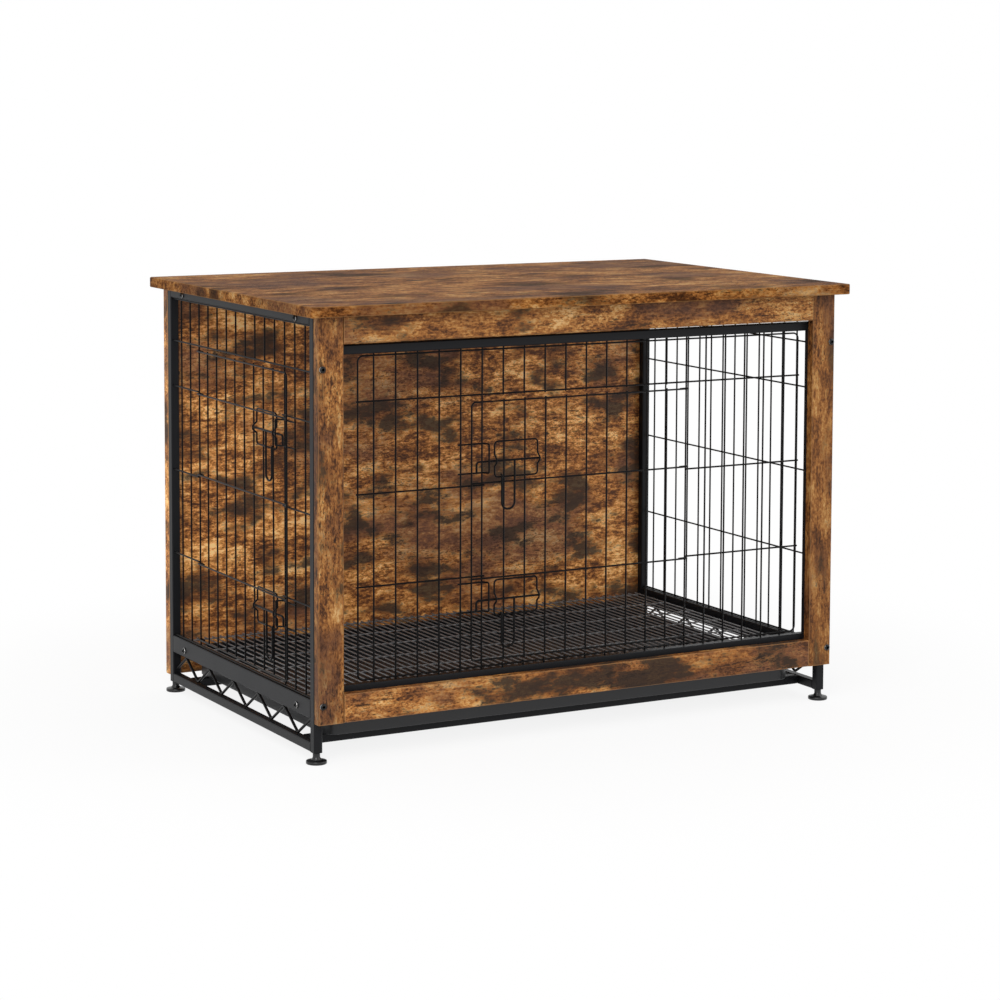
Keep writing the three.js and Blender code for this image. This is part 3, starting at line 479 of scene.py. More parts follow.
# ---- Mesh work ----
@dataclass
class Bench:
    """A mesh under construction, with the shapes that this table is made of."""

    mesh: BMesh = field(default_factory=bmesh.new)

    def rod(self, start: Vector, end: Vector, diameter: float, sides: int = 12) -> None:
        """A straight round rod.

        Args:
            start: Centre of one end.
            end: Centre of the other.
            diameter: Its diameter.
            sides: Faces round it.
        """
        way = end - start
        place = Matrix.LocRotScale((start + end) / 2, way.to_track_quat("Z", "Y"), None)
        radius = diameter / 2
        bmesh.ops.create_cone(self.mesh, cap_ends=True, cap_tris=False, segments=sides,
                              radius1=radius, radius2=radius, depth=way.length, matrix=place)

    def bent(self, points: Sequence[Vector], diameter: float, sides: int = 12) -> None:
        """A round wire through the points, made by pushing a circle along them.

        Args:
            points: The wire's centre line.
            diameter: Its diameter.
            sides: Faces round it.
        """
        places = self._sections(points)
        ring = bmesh.ops.create_circle(self.mesh, cap_ends=False, radius=diameter / 2,
                                       segments=sides, matrix=places[0])["verts"]
        edges = list({edge for vert in ring for edge in vert.link_edges})
        first = edges
        for before, here in zip(places, places[1:]):
            grown = bmesh.ops.extrude_edge_only(self.mesh, edges=edges)["geom"]
            verts = [item for item in grown if isinstance(item, BMVert)]
            edges = [item for item in grown
                     if isinstance(item, BMEdge) and item.is_boundary]
            bmesh.ops.transform(self.mesh, matrix=here @ before.inverted(), verts=verts)
        for end in (first, edges):
            bmesh.ops.contextual_create(self.mesh, geom=end)

    @staticmethod
    def _sections(points: Sequence[Vector]) -> list[Matrix]:
        """The place of the wire's section at each point, turning as little as it can.

        Args:
            points: The wire's centre line.

        Returns:
            One matrix a point, its z axis along the wire.
        """
        around = zip([points[0], *points], points, [*points[1:], points[-1]])
        ways = [((here - before).normalized() + (after - here).normalized()).normalized()
                for before, here, after in around]
        turn = ways[0].to_track_quat("Z", "Y")
        places = []
        for index, (here, way) in enumerate(zip(points, ways)):
            if index:
                turn = ways[index - 1].rotation_difference(way) @ turn
            places.append(Matrix.LocRotScale(here, turn, None))
        return places

    def turned(self, profile: Sequence[tuple[float, float]], steps: int) -> None:
        """A shape turned round the z axis, the only one in its mesh.

        Args:
            profile: Radius and height of each point.
            steps: Steps in the full turn.
        """
        verts = [self.mesh.verts.new((radius, 0.0, height)) for radius, height in profile]
        edges = [self.mesh.edges.new(pair) for pair in zip(verts, verts[1:])]
        bmesh.ops.spin(self.mesh, geom=[*verts, *edges], cent=(0, 0, 0), axis=(0, 0, 1), angle=math.tau,
                       steps=steps, use_merge=True, use_duplicate=False)
        bmesh.ops.remove_doubles(self.mesh, verts=self.mesh.verts[:], dist=1e-6)

    def finish(self, name: str, materials: Sequence[Material],
               place: Matrix | None = None) -> Object:
        """Turns the mesh into an object at the origin.

        Args:
            name: The object's name.
            materials: Its material slots.
            place: Where the drawing's frame lies, or None.

        Returns:
            The object.
        """
        if place is not None:
            bmesh.ops.transform(self.mesh, matrix=place, verts=self.mesh.verts[:])
        bmesh.ops.recalc_face_normals(self.mesh, faces=self.mesh.faces[:])
        data = bpy.data.meshes.new(name)
        self.mesh.to_mesh(data)
        self.mesh.free()
        data.shade_smooth()
        data.set_sharp_from_angle(angle=SHARP_ANGLE)
        for material in materials:
            data.materials.append(material)
        piece = bpy.data.objects.new(name, data)
        bpy.context.scene.collection.objects.link(piece)
        return piece


def rounded(corners: Sequence[Vector], radius: float, steps: int = 6) -> list[Vector]:
    """A path with its inner corners rounded.

    Args:
        corners: The path's corners.
        radius: Radius of the rounding.
        steps: Steps in each arc.

    Returns:
        The path's points.
    """
    path = [corners[0]]
    for before, here, after in zip(corners, corners[1:], corners[2:]):
        into = (before - here).normalized()
        out = (after - here).normalized()
        half = into.angle(out) / 2
        reach = radius / math.tan(half)
        centre = here + (into + out).normalized() * (radius / math.sin(half))
        start = here + into * reach - centre
        end = here + out * reach - centre
        for step in range(steps + 1):
            path.append(centre + start.slerp(end, step / steps) * radius)
    path.append(corners[-1])
    return path


@dataclass
class Maker:
    """What every piece starts from."""

    finishes: Finishes
    bench: Bench = field(default_factory=Bench, init=False)

    def show(self, name: str, node: str, slot: str, *materials: Material, body: str = "crate",
             place: Matrix | None = None) -> Object:
        """Finishes a piece and hangs it on its body, in place of a CAD node.

        Args:
            name: The piece's name.
            node: The CAD node that it stands for.
            slot: The record's material slot; not used.
            *materials: Its finishes.
            body: The CAD body that it rides on.
            place: Where the drawing's frame lies, or None.

        Returns:
            The piece.
        """
        piece = self.bench.finish(name, materials, place)
        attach(piece, body)
        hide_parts(node)
        LOG.info("%s: %d faces on %s", name, len(piece.data.polygons), body)
        return piece


# ---- Wood and tube ----
@dataclass
class CadShapes(Maker):
    """The six boards and the square tube, which keep their CAD shapes."""

    # Painted light and shade per board: the back panel inside the crate is brightened, the top, rails and
    # posts are darkened.
    boards: tuple[RusticWood, ...] = (
        RusticWood("tabletop", Grain.ACROSS, seed=4.0, painted_light_gain=0.65, patch_start=0.555, patch_depth=0.8,
                   contrast=1.15, gloss=0.03, blotch=14.0),
        RusticWood("front_top_rail", Grain.ACROSS, seed=11.0, painted_light_gain=0.66, patch_start=0.565,
                   patch_depth=0.88, contrast=1.2, gloss=0.2),
        RusticWood("front_bottom_rail", Grain.ACROSS, seed=23.0, painted_light_gain=0.86, patch_start=0.515,
                   patch_depth=0.95, contrast=1.25, gloss=0.2, blotch=12.0),
        RusticWood("front_post_left", Grain.UPRIGHT, seed=31.0, painted_light_gain=0.64, patch_start=0.56,
                   patch_depth=0.85, contrast=1.2, gloss=0.2),
        RusticWood("front_post_right", Grain.UPRIGHT, seed=47.0, painted_light_gain=0.59, patch_start=0.6,
                   patch_depth=0.75, contrast=0.95, gloss=0.2),
        RusticWood("back_panel", Grain.ACROSS, seed=59.0, painted_light_gain=1.42, patch_start=0.51, patch_depth=0.93,
                   contrast=1.35),
    )
    tubes: tuple[str, ...] = ("leg_", "side_top_bar_", "side_bottom_bar_", "lower_rail_",
                              "front_frame_", "top_cross_bar_", "floor_cross_bar_", "lower_cross_bar_")

    def build(self) -> None:
        """Gives every board its own cut of the wood, and coats every tube."""
        coats = {wood.node: wood.make() for wood in self.boards}
        coats.update({node: self.finishes.tube for node in sorted(frame["nodes"])
                      if node.startswith(self.tubes)})
        for node, material in coats.items():
            data = frame["nodes"][node].data
            data.materials.clear()
            data.materials.append(material)
            LOG.info("%s: %s", node, material.name)


# ---- Welded wire ----
@dataclass(frozen=True)
class Stock:
    """Wire sizes, their clearances, and the latch sizes that two pieces share."""

    wire: float = 0.0025
    rod: float = 0.003
    weld: float = 0.0004
    gap: float = 0.0003
    overshoot: float = 0.0025
    eye_clearance: float = 0.0004
    latch_clearance: float = 0.0003
    keeper_clearance: float = 0.0004
    rest_clearance: float = 0.0004
    guide_length: float = 0.068
    guide_drop: float = 0.023
    tip_drop: float = 0.014

    @property
    def layer(self) -> float:
        """Centre to centre of two crossing wires."""
        return self.wire - self.weld

    @property
    def eye(self) -> float:
        """Centre-line radius of a hinge eye."""
        return self.wire + self.eye_clearance

    @property
    def rod_out(self) -> float:
        """Door's plane to a slide bolt's rod."""
        return self.wire / 2 + self.latch_clearance + self.rod / 2

    @property
    def bow_out(self) -> float:
        """Door's plane to the bow of a bolt guide."""
        return self.rod_out + self.rod / 2 + self.latch_clearance + self.wire / 2

    @property
    def keeper_out(self) -> float:
        """Door's plane to a keeper's closed end."""
        return self.rod_out + self.rod / 2 + self.keeper_clearance + self.wire / 2


STOCK = Stock()


@dataclass(frozen=True)
class DoorSize:
    """A wire door, drawn flat: u runs from the hinge wire to the free edge."""

    name: str
    hand: int
    turn: float
    pitch: float
    bays: int
    overlap: float
    top: float
    bottom: float
    cross_heights: tuple[float, ...]
    latch_heights: tuple[float, ...]
    setback: float
    keeper_rise: float

    @property
    def border(self) -> float:
        """Hinge wire to the doorway's border wire."""
        return self.bays * self.pitch

    @property
    def length(self) -> float:
        """Hinge wire to the free edge."""
        return self.border + self.overlap

    @property
    def carrier(self) -> float:
        """Hinge wire to the upright that carries the keepers."""
        return self.border + self.pitch

    @property
    def lean(self) -> float:
        """How far the door leans out, in radians."""
        edge_out = STOCK.layer + STOCK.wire + STOCK.rest_clearance
        return math.asin((edge_out - STOCK.eye) / self.length)

    @property
    def hinge(self) -> Vector:
        """The hinge wire's place, on the floor."""
        joint = next(joint for joint in frame["joints"] if joint["name"] == f"{self.name}_hinge")
        return Vector((joint["pos_m"][0], joint["pos_m"][1], 0.0))

    def place(self) -> Matrix:
        """Where the door's own frame lies."""
        turn = self.turn - self.hand * self.lean
        return Matrix.Translation(self.hinge) @ Matrix.Rotation(turn, 4, "Z")

    def at(self, u: float, w: float, z: float) -> Vector:
        """A point of the door: w is outside the plane of its cross wires."""
        return Vector((self.hand * u, -(w + STOCK.eye), z))


FRONT_DOOR = DoorSize(
    "front_door", hand=-1, turn=0.0, pitch=0.03315, bays=10, overlap=0.0187, top=0.4765,
    bottom=0.117, cross_heights=(0.3641, 0.231), latch_heights=(0.394, 0.201), setback=0.036,
    keeper_rise=0.0245)
LEFT_DOOR = DoorSize(
    "left_door", hand=1, turn=-math.pi / 2, pitch=0.0333, bays=9, overlap=0.0165,
    top=0.5205, bottom=0.096, cross_heights=(0.4582, 0.3398, 0.2082), latch_heights=(0.435, 0.185),
    setback=0.033, keeper_rise=0.02)


@dataclass
class WireDoor(Maker):
    """A door: its outer wire, uprights, cross wires with eyes, and two bolt guides."""

    size: DoorSize
    corner: float = 0.006
    tail: float = 0.009
    eye_steps: int = 10
    guide_rise: float = 0.0265
    guide_corner: float = 0.005
    kink: float = 0.008

    def _eye(self, z: float) -> list[Vector]:
        """The hook round the hinge wire at one height, from its tail on.

        Args:
            z: Height of the cross wire.

        Returns:
            The hook's points.
        """
        reach = STOCK.eye / math.cos(math.pi / (2 * self.eye_steps))
        path = [self.size.at(self.tail, -STOCK.eye - STOCK.wire / 2 - STOCK.eye_clearance, z)]
        for step in range(self.eye_steps):
            angle = math.pi * (step + 0.5) / self.eye_steps
            path.append(self.size.at(-reach * math.sin(angle), -STOCK.eye - reach * math.cos(angle), z))
        return path

    def _outer_wire(self) -> list[Vector]:
        """The one wire that makes the top, the free edge and the bottom.

        Returns:
            Its centre line.
        """
        size = self.size
        upper = self._eye(size.top)
        lower = self._eye(size.bottom)[::-1]
        corners = [upper[-1], size.at(size.length, 0.0, size.top), size.at(size.length, 0.0, size.bottom),
                   size.at(self.tail, 0.0, size.bottom)]
        return [*upper[:-1], *rounded(corners, self.corner)[:-1], *lower]

    def _guide(self, rod_height: float) -> list[Vector]:
        """The closed loop that a slide bolt runs in, bowed out round the rod.

        Args:
            rod_height: Height of the bolt's rod.

        Returns:
            The loop's centre line, ending where it starts.
        """
        size = self.size
        free = size.length - size.setback
        hinged = free - STOCK.guide_length
        half = STOCK.wire

        def side(u: float, sign: int) -> list[Vector]:
            """The bow round the rod in one upright of the loop, downward where sign is 1."""
            heights = [(self.kink, 0.0), (half, STOCK.bow_out), (-half, STOCK.bow_out), (-self.kink, 0.0)]
            return [size.at(u, w, rod_height + sign * dz) for dz, w in heights]

        middle = (free + hinged) / 2
        top = rod_height + self.guide_rise
        low = rod_height - STOCK.guide_drop
        start = size.at(middle, 0, top)
        corners = [start, size.at(free, 0, top), *side(free, 1), size.at(free, 0, low),
                   size.at(hinged, 0, low), *side(hinged, -1), size.at(hinged, 0, top), start]
        path = [corners[0]]
        for index in range(1, len(corners) - 1):
            trio = corners[index - 1:index + 2]
            soft = self.guide_corner if abs(trio[0].z - trio[2].z) > self.kink * 1.2 and (
                abs(trio[0].x - trio[2].x) > self.kink) else STOCK.wire * 0.55
            path.extend(rounded(trio, soft, 4)[1:-1])
        path.append(corners[-1])
        return path

    def build(self) -> None:
        """Makes the door."""
        size = self.size
        self.bench.bent(self._outer_wire(), STOCK.wire)
        for z in size.cross_heights:
            self.bench.bent([*self._eye(z), size.at(size.length, 0.0, z)], STOCK.wire)
        for bay in range(1, size.bays):
            inner = STOCK.layer
            self.bench.rod(size.at(bay * size.pitch, -inner, size.bottom - STOCK.overshoot),
                      size.at(bay * size.pitch, -inner, size.top + STOCK.overshoot), STOCK.wire)
        for height in size.latch_heights:
            self.bench.bent(self._guide(height), STOCK.wire)
        self.show(f"{size.name}_wires", size.name, "black_wire", self.finishes.wire,
                  body=size.name, place=size.place())


@dataclass
class SlideBolt(Maker):
    """A slide bolt: its rod with the bent tip, and the drop handle."""

    size: DoorSize
    height: float
    node: str
    head_past: float = 0.003
    tip_before_edge: float = 0.006
    tip_bend: float = 0.004
    handle_from_guide: float = 0.01
    handle_width: float = 0.02
    handle_drop: float = 0.068
    handle_slack: float = 0.0004

    def _at(self, u: float, w: float, dz: float) -> Vector:
        """A point measured from the rod."""
        return self.size.at(u, w + STOCK.rod_out, self.height + dz)

    def build(self) -> None:
        """Makes the bolt."""
        size = self.size
        free = size.length - size.setback
        head = free - STOCK.guide_length - self.head_past
        tip = size.length - self.tip_before_edge
        rod = [self._at(head, 0, 0), self._at(tip, 0, 0), self._at(tip, 0, -STOCK.tip_drop)]
        self.bench.bent(rounded(rod, self.tip_bend), STOCK.rod, 14)
        near = free - self.handle_from_guide
        far = near - self.handle_width
        hook = -STOCK.guide_drop + (STOCK.wire + STOCK.rod) / 2 + STOCK.latch_clearance
        drop = -self.handle_drop
        loop = rounded([self._at(far, 0, 0), self._at(far, 0, drop), self._at(near, 0, drop),
                        self._at(near, 0, hook)], self.handle_width / 2 - self.handle_slack, 10)
        over = rounded([self._at(near, 0, drop), self._at(near, 0, hook),
                        self._at(near, -STOCK.rod_out, hook)], STOCK.rod_out / 2, 5)
        self.bench.bent([*loop[:-1], *over[1:]], STOCK.rod, 14)
        self.show(f"{self.node}_rod", self.node, "black_wire", self.finishes.wire,
                  body=self.node, place=size.place())


@dataclass
class Grid(Maker):
    """What the front grid and the side grids share: straight wires and keepers in a flat frame."""

    keeper_reach: float = 0.024
    keeper_corner: float = 0.002
    keeper_tail: float = 0.005
    tip_clearance: float = 0.00075

    def upright(self, x: float, low: float, high: float, y: float = 0.0) -> None:
        """One upright."""
        self.bench.rod(Vector((x, y, low)), Vector((x, y, high)), STOCK.wire)

    def cross(self, left: float, right: float, z: float, y: float = 0.0) -> None:
        """One cross wire, in front of the uprights."""
        self.bench.rod(Vector((left, y - STOCK.layer, z)), Vector((right, y - STOCK.layer, z)), STOCK.wire)

    def keeper(self, door: DoorSize, hinge: Vector, rod_height: float) -> None:
        """The hoop that a bolt's tip runs behind.

        Args:
            door: The door that it holds.
            hinge: The hinge wire in this grid's frame.
            rod_height: Height of the bolt's rod.
        """
        end = door.length - self.keeper_reach
        out = STOCK.eye + STOCK.keeper_out + math.sin(door.lean) * end
        bend = door.border - STOCK.wire / 2
        start = door.carrier + self.keeper_tail
        drop = -(STOCK.tip_drop + self.tip_clearance + STOCK.wire / 2)
        stops = [(start, STOCK.layer, door.keeper_rise), (bend, STOCK.layer, door.keeper_rise),
                 (end, out, door.keeper_rise), (end, out, drop), (bend, STOCK.layer, drop),
                 (start, STOCK.layer, drop)]
        corners = [Vector((hinge.x + door.hand * u, hinge.y - w, rod_height + dz)) for u, w, dz in stops]
        self.bench.bent(rounded(corners, self.keeper_corner, 5), STOCK.wire)


@dataclass
class FrontGrid(Grid):
    """The front grid with its outer wire and doorway."""

    count: int = 21
    hinge_index: int = 15
    border_index: int = 5
    ring_side: float = 0.0249
    ring_top_drop: float = 0.0032
    ring_bottom_rise: float = 0.0045
    ring_corner: float = 0.008
    rail_top: float = 0.4865
    rails: tuple[float, ...] = (0.3608, 0.2343)

    def build(self) -> None:
        """Makes the grid."""
        door = FRONT_DOOR
        plane = door.hinge.y
        bar_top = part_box("front_frame_bottom_bar")[1][2]
        bar_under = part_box("front_frame_top_bar")[0][2]
        first = door.hinge.x - self.hinge_index * door.pitch
        places = [first + n * door.pitch for n in range(self.count)]
        low = bar_top + self.ring_bottom_rise
        high = bar_under - self.ring_top_drop
        foot, head = bar_top + STOCK.gap, bar_under - STOCK.gap
        for n, x in enumerate(places):
            if self.border_index < n < self.hinge_index:
                self.upright(x, self.rail_top - STOCK.overshoot, head, plane)
                self.upright(x, foot, low + STOCK.overshoot, plane)
            else:
                self.upright(x, foot, head, plane)
        left = places[0] - self.ring_side
        right = places[-1] + self.ring_side
        ends = (left - STOCK.overshoot, right + STOCK.overshoot)
        self.cross(*ends, self.rail_top, plane)
        for z in self.rails:
            self.cross(ends[0], places[self.border_index] + STOCK.overshoot, z, plane)
            self.cross(places[self.hinge_index], ends[1], z, plane)
        y = plane - STOCK.layer
        seam = (places[0] + places[1]) / 2
        corners = [Vector((x, y, z)) for x, z in
                   ((seam, high), (right, high), (right, low), (left, low), (left, high), (seam, high))]
        self.bench.bent(rounded(corners, self.ring_corner), STOCK.wire)
        for height in door.latch_heights:
            self.keeper(door, door.hinge, height)
        self.show("front_grid_wires", "front_grid", "black_wire", self.finishes.wire)


@dataclass
class SideGrid(Grid):
    """A side grid, drawn flat as seen from outside, with or without a doorway."""

    side: int = -1
    count: int = 14
    hinge_index: int = 11
    border_index: int = 2
    top_drop: float = 0.0016
    bottom_rise: float = 0.0016
    upper: float = 0.5288
    rails: tuple[float, ...] = (0.4615, 0.3365, 0.2115)

    def build(self) -> None:
        """Makes the grid."""
        door = LEFT_DOOR
        has_door = self.side < 0
        name = "left" if has_door else "right"
        bar_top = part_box(f"side_bottom_bar_{name}")[1][2]
        (_, _, bar_under), (_, reach, _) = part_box(f"side_top_bar_{name}")
        places = [self.side * (n - (self.count - 1) / 2) * door.pitch for n in range(self.count)]
        for n, x in enumerate(places):
            open_below = has_door and self.border_index < n < self.hinge_index
            low = self.upper - STOCK.overshoot if open_below else bar_top + STOCK.gap
            self.upright(x, low, bar_under - STOCK.gap)
        whole = [bar_under - self.top_drop, self.upper, bar_top + self.bottom_rise]
        for z in whole if has_door else [*whole, *self.rails]:
            self.cross(-reach, reach, z)
        if has_door:
            for z in self.rails:
                self.cross(places[self.border_index] - STOCK.overshoot, reach, z)
                self.cross(-reach, places[self.hinge_index], z)
            for height in door.latch_heights:
                self.keeper(door, Vector((places[self.hinge_index], 0.0, 0.0)), height)
        low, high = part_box(f"leg_front_{name}")
        x = (low[0] + high[0]) / 2
        place = Matrix.Translation((x, 0.0, 0.0)) @ Matrix.Rotation(self.side * math.pi / 2, 4, "Z")
        self.show(f"{name}_grid_wires", f"{name}_grid", "black_wire", self.finishes.wire,
                  place=place)


@dataclass
class FloorGrid(Maker):
    """The floor of close wires from front to back, on cross wires."""

    pitch: float = 0.0124
    wire: float = 0.0024
    cross_wires: int = 7
    cross_inset: float = 0.004

    def build(self) -> None:
        """Makes the floor."""
        low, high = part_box("floor_grid")
        count = round((high[0] - low[0]) / self.pitch)
        top = high[2] - self.wire / 2
        under = low[2] + self.wire / 2
        for n in range(count):
            x = (n - (count - 1) / 2) * self.pitch
            self.bench.rod(Vector((x, low[1], top)), Vector((x, high[1], top)), self.wire, 8)
        span = high[1] - self.cross_inset
        for n in range(self.cross_wires):
            y = span * (2 * n / (self.cross_wires - 1) - 1)
            self.bench.rod(Vector((low[0], y, under)), Vector((high[0], y, under)), self.wire, 8)
        # The floor wires wear the light grey coat that paints their highlights.
        self.show("floor_grid_wires", "floor_grid", "black_wire", self.finishes.floor)


@dataclass
class Truss(Maker):
    """The zigzag wire under one side."""

    name: str
    wire: float = 0.004
    half_waves: int = 11
    half_wave: float = 0.0438
    first_turn: float = 0.0085
    bend: float = 0.006

    def build(self) -> None:
        """Makes the zigzag, from its flat start at the front leg to its cut end at the back leg."""
        low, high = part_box(f"truss_{self.name}")
        x = (low[0] + high[0]) / 2
        heights = (high[2] - self.wire / 2, low[2] + self.wire / 2)
        corners = [Vector((x, low[1], heights[0]))]
        for turn in range(self.half_waves + 1):
            y = low[1] + self.first_turn + turn * self.half_wave
            corners.append(Vector((x, y, heights[turn % 2])))
        end = high[1] - self.wire / 2
        before, beyond = corners[-2:]
        corners[-1] = before.lerp(beyond, (end - before.y) / (beyond.y - before.y))
        self.bench.bent(rounded(corners, self.bend, 5), self.wire)
        self.show(f"truss_{self.name}_wire", f"truss_{self.name}", "black_wire", self.finishes.wire)


# ---- Tray, feet and bolts ----
@dataclass
class Tray(Maker):
    """The moulded pull-out tray."""

    wall: float = 0.002
    lip: float = 0.004
    corner: float = 0.022
    rounding: float = 0.0008

    def build(self) -> None:
        """Makes the tray."""
        low, high = (Vector(corner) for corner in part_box("tray"))
        outer = (high - low) / 2 - Vector((self.lip, self.lip, 0.0))
        middle = (low + high) / 2
        mesh = self.bench.mesh
        place = Matrix.Translation((middle.x, middle.y, low.z)) @ Matrix.Diagonal((*outer.xy, 1.0, 1.0))
        bmesh.ops.create_grid(mesh, x_segments=1, y_segments=1, size=1.0, matrix=place)
        bmesh.ops.bevel(mesh, geom=mesh.verts[:], offset=self.corner, offset_type="OFFSET", segments=10,
                        profile=0.5, affect="VERTICES", material=-1, clamp_overlap=True)
        face = mesh.faces[:][0]
        rise = high.z - low.z
        for up, out in ((rise - self.wall, 0.0), (0.0, self.lip), (self.wall, 0.0),
                        (0.0, -self.lip - self.wall), (self.wall - rise, 0.0)):
            face = self._step(mesh, face, up, out)
        bmesh.ops.contextual_create(mesh, geom=[edge for edge in mesh.edges if edge.is_boundary])
        piece = self.show("tray_moulding", "tray", "black_plastic", self.finishes.plastic, body="tray")
        rounding = piece.modifiers.new("rounding", "BEVEL")
        rounding.width = self.rounding
        rounding.segments = 2
        rounding.limit_method = "ANGLE"

    @staticmethod
    def _step(mesh: BMesh, face: BMFace, up: float, out: float) -> BMFace:
        """Pushes the working face up and spreads it.

        Args:
            mesh: The tray's mesh.
            face: The working face.
            up: How far up, in metres.
            out: How far each side goes out.

        Returns:
            The new working face.
        """
        made = bmesh.ops.extrude_discrete_faces(mesh, faces=[face])["faces"][0]
        verts = list(made.verts)
        centre = made.calc_center_median()
        spread = [max(abs(vert.co[axis] - centre[axis]) for vert in verts) for axis in (0, 1)]
        scale = [(size + out) / size for size in spread]
        bmesh.ops.scale(mesh, vec=(*scale, 1.0), verts=verts, space=Matrix.Translation(-centre))
        bmesh.ops.translate(mesh, vec=(0.0, 0.0, up), verts=verts)
        return made


@dataclass
class LevellingFoot(Maker):
    """A foot with its disc on the floor."""

    node: str
    radius: float = 0.0142
    disc: float = 0.0045
    nut: float = 0.005
    cone_top: float = 0.009
    stem: float = 0.0032
    seat: float = 0.0147
    edge: float = 0.0009
    flare: float = 0.0022
    chamfer: float = 0.0006

    def build(self) -> None:
        """Makes the foot."""
        low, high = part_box(self.node)
        place = Matrix.Translation(((low[0] + high[0]) / 2, (low[1] + high[1]) / 2, 0.0))
        top, edge, rim = high[2], self.edge, self.radius
        profile = [(0.0, 0.0), (rim - edge, 0.0), (rim - edge * 0.3, edge * 0.3), (rim, edge),
                   (rim, self.disc - edge), (rim - edge * 0.4, self.disc - edge * 0.3),
                   (rim - edge * 1.4, self.disc), (self.nut + self.flare, self.disc + 0.0012),
                   (self.nut + 0.0005, self.cone_top - 0.001), (self.nut, self.cone_top),
                   (self.nut, self.seat - self.chamfer), (self.nut - self.chamfer, self.seat),
                   (self.stem, self.seat), (self.stem, top), (0.0, top)]
        self.bench.turned(profile, 40)
        self.show(f"{self.node}_moulding", self.node, "black_plastic", self.finishes.foot,
                  body=self.node, place=place)


@dataclass
class Bolts(Maker):
    """The button-head bolts, each with a hex recess and a bright bare-metal rim, partly wear and partly a
    painted highlight.
    """

    head: float = 0.00475
    height: float = 0.0026
    shank: float = 0.0027
    hex_size: float = 0.0021
    hex_depth: float = 0.0015
    dome_base: float = 0.25
    dome_angles: tuple[float, ...] = (0, 20, 38, 54)
    rim_wear_and_highlight_from: float = 0.88
    prefixes: tuple[str, ...] = ("front_bolt_", "back_bolt_", "side_bolt_")

    def build(self) -> None:
        """Makes every bolt."""
        for node in sorted(frame["nodes"]):
            if node.startswith(self.prefixes):
                self._bolt(node)

    def _place(self, node: str) -> tuple[Matrix, float]:
        """Where a bolt's head seats and which way it faces.

        Args:
            node: The CAD node.

        Returns:
            The head's place, its z axis outward, and the shank's length.
        """
        low, high = (Vector(corner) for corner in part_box(node))
        size = high - low
        axis = max(range(3), key=lambda i: size[i])
        middle = (low + high) / 2
        outward = Vector((0.0, 0.0, 0.0))
        outward[axis] = 1.0 if middle[axis] > 0 else -1.0
        seat = middle + outward * (size[axis] / 2 - self.height)
        place = Matrix.LocRotScale(seat, outward.to_track_quat("Z", "Y"), None)
        return place, size[axis] - self.height

    def _bolt(self, node: str) -> None:
        """Makes one bolt.

        Args:
            node: The CAD node that it stands for.
        """
        place, shank = self._place(node)
        dome = [(self.head * math.cos(a), self.height * (self.dome_base + (1 - self.dome_base) * math.sin(a)))
                for a in map(math.radians, self.dome_angles)]
        ring = self.hex_size * 1.1
        profile = [(0.0, -shank), (self.shank, -shank), (self.shank, 0.0), (self.head, 0.0), *dome,
                   (ring, self.height)]
        self.bench = Bench()
        mesh = self.bench.mesh
        self.bench.turned(profile, 24)
        rim = [edge for edge in mesh.edges if edge.is_boundary]
        socket = bmesh.ops.create_circle(mesh, cap_ends=False, radius=self.hex_size, segments=6,
                                         matrix=Matrix.Translation((0, 0, self.height)))["verts"]
        hexagon = list({edge for vert in socket for edge in vert.link_edges})
        bmesh.ops.bridge_loops(mesh, edges=[*rim, *hexagon])
        deep = bmesh.ops.extrude_edge_only(mesh, edges=hexagon)["geom"]
        floor = [item for item in deep if isinstance(item, BMEdge)]
        sunk = [item for item in deep if isinstance(item, BMVert)]
        bmesh.ops.translate(mesh, vec=(0.0, 0.0, -self.hex_depth), verts=sunk)
        bmesh.ops.contextual_create(mesh, geom=floor)
        mesh.normal_update()
        # Faces near the head's edge take the bright metal: partly wear, partly a painted highlight.
        for face in mesh.faces:
            centre = face.calc_center_median()
            worn = centre.z > self.height * 0.2 and centre.xy.length > self.head * self.rim_wear_and_highlight_from
            face.material_index = 1 if worn else 0
        self.show(f"{node}_head", node, "dark_steel", self.finishes.bolt, self.finishes.rim,
                  place=place)


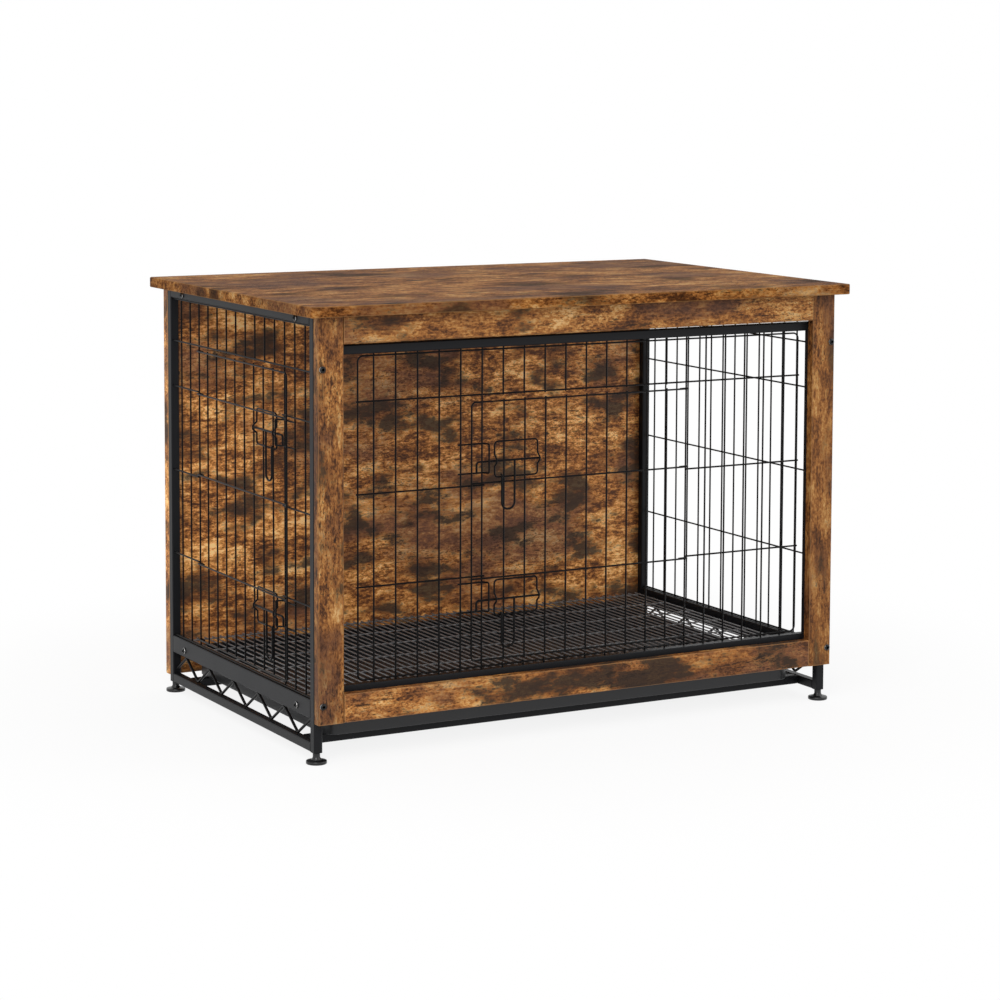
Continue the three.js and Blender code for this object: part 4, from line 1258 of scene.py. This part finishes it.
# ---- Studio ----
@dataclass
class Studio:
    """Floor, light and the camera at the photograph's angle."""

    image_size: float = 1000.0
    focal_pixels: float = 2833.7
    centre_x: float = 515.6
    centre_y: float = 320.0
    yaw: float = 0.5065
    pitch: float = 0.0931
    roll: float = 0.004
    camera_at: Point = (-1.9927, -3.6498, 0.9498)
    sensor: float = 36.0
    clip_end: float = 60.0
    floor_size: float = 30.0
    floor_colour: float = 0.93
    floor_variation: float = 0.01
    near_share: float = 0.86
    near: float = 0.6
    far: float = 1.1
    world_strength: float = 0.72
    lamps: tuple[tuple[str, float, float, Point], ...] = (("key", 70.0, 2.2, (-2.2, -2.6, 2.4)),
                                                          ("fill", 26.0, 2.6, (2.8, -2.0, 2.0)))
    lamp_aim: Vector = Vector((0.0, 0.0, 0.3)).freeze()

    def build(self) -> None:
        """Makes the whole studio."""
        self._floor()
        self._world()
        self._lamps()
        self._camera()

    def _floor(self) -> None:
        """The pale floor, which reads as the white background and still takes the table's shadow."""
        graph = Graph(bpy.data.materials.new("studio_floor"))
        low, high = [(self.floor_colour + change,) * 3 + (1.0,)
                     for change in (-self.floor_variation, self.floor_variation)]
        base = graph.mix(graph.noise(graph.place(), 3.0), low, high)
        matt = graph.add("BsdfPrincipled", None, {"Base Color": base, "Roughness": 0.9})
        white = graph.add("Emission", None, {"Strength": 1.0})
        away = graph.add("VectorMath", {"operation": "LENGTH"},
                         {0: graph.add("TexCoord", output="Object")}, "Value")
        share = graph.seen() * away.ramp(self.near, self.far, self.near_share)
        mixed = graph.add("MixShader", None, {0: share, 1: matt, 2: white})
        graph.node("OutputMaterial", None, {"Surface": mixed})
        bench = Bench()
        bmesh.ops.create_grid(bench.mesh, x_segments=1, y_segments=1, size=self.floor_size / 2)
        bench.finish("studio_floor", [graph.owner])

    def _world(self) -> None:
        """Soft white light from all round, pure white where the camera sees it."""
        world = bpy.data.worlds.new("studio")
        bpy.context.scene.world = world
        graph = Graph(world)
        light, plain = [graph.add("Background", None, {"Color": WHITE, "Strength": strength})
                        for strength in (self.world_strength, 1.0)]
        mixed = graph.add("MixShader", None, {0: graph.seen(), 1: light, 2: plain})
        graph.node("OutputWorld", None, {"Surface": mixed})

    def _lamps(self) -> None:
        """A large square key lamp at the front left and a softer one at the right."""
        for name, power, size, place in self.lamps:
            data = bpy.data.lights.new(name, "AREA")
            data.energy = power
            data.size = size
            lamp = bpy.data.objects.new(name, data)
            turn = (self.lamp_aim - Vector(place)).to_track_quat("-Z", "Y")
            lamp.matrix_world = Matrix.LocRotScale(Vector(place), turn, None)
            bpy.context.scene.collection.objects.link(lamp)

    def _camera(self) -> None:
        """The camera, tipped down a little, with a small shift that keeps the uprights nearly parallel."""
        data = bpy.data.cameras.new("camera")
        data.sensor_width = self.sensor
        data.lens = self.focal_pixels / self.image_size * self.sensor
        data.shift_x = (self.image_size / 2 - self.centre_x) / self.image_size
        data.shift_y = (self.centre_y - self.image_size / 2) / self.image_size
        data.clip_end = self.clip_end
        camera = bpy.data.objects.new("camera", data)
        level = math.cos(self.pitch)
        ahead = Vector((math.sin(self.yaw) * level, math.cos(self.yaw) * level, -math.sin(self.pitch)))
        right = Vector((math.cos(self.yaw), -math.sin(self.yaw), 0.0))
        up = right.cross(ahead)
        side = right * math.cos(self.roll) + up * math.sin(self.roll)
        top = up * math.cos(self.roll) - right * math.sin(self.roll)
        turn = Matrix((side, top, -ahead)).transposed().to_4x4()
        camera.matrix_world = Matrix.Translation(self.camera_at) @ turn
        bpy.context.scene.collection.objects.link(camera)
        bpy.context.scene.camera = camera


def main() -> None:
    """Dresses the table piece by piece."""
    logging.basicConfig(level=logging.INFO, format="%(name)s: %(message)s")
    bpy.context.scene.view_settings.view_transform = "Standard"
    finishes = Finishes()
    CadShapes(finishes).build()
    FrontGrid(finishes).build()
    for side in (-1, 1):
        SideGrid(finishes, side=side).build()
    for door in (FRONT_DOOR, LEFT_DOOR):
        WireDoor(finishes, door).build()
        for level, height in zip(("upper", "lower"), door.latch_heights):
            node = f"{door.name.removesuffix('_door')}_latch_{level}"
            SlideBolt(finishes, door, height, node).build()
    FloorGrid(finishes).build()
    for name in ("left", "right"):
        Truss(finishes, name).build()
    Tray(finishes).build()
    for node in sorted(frame["nodes"]):
        if node.startswith("foot_"):
            LevellingFoot(finishes, node).build()
    Bolts(finishes).build()
    Studio().build()


if __name__ == "__main__":
    main()
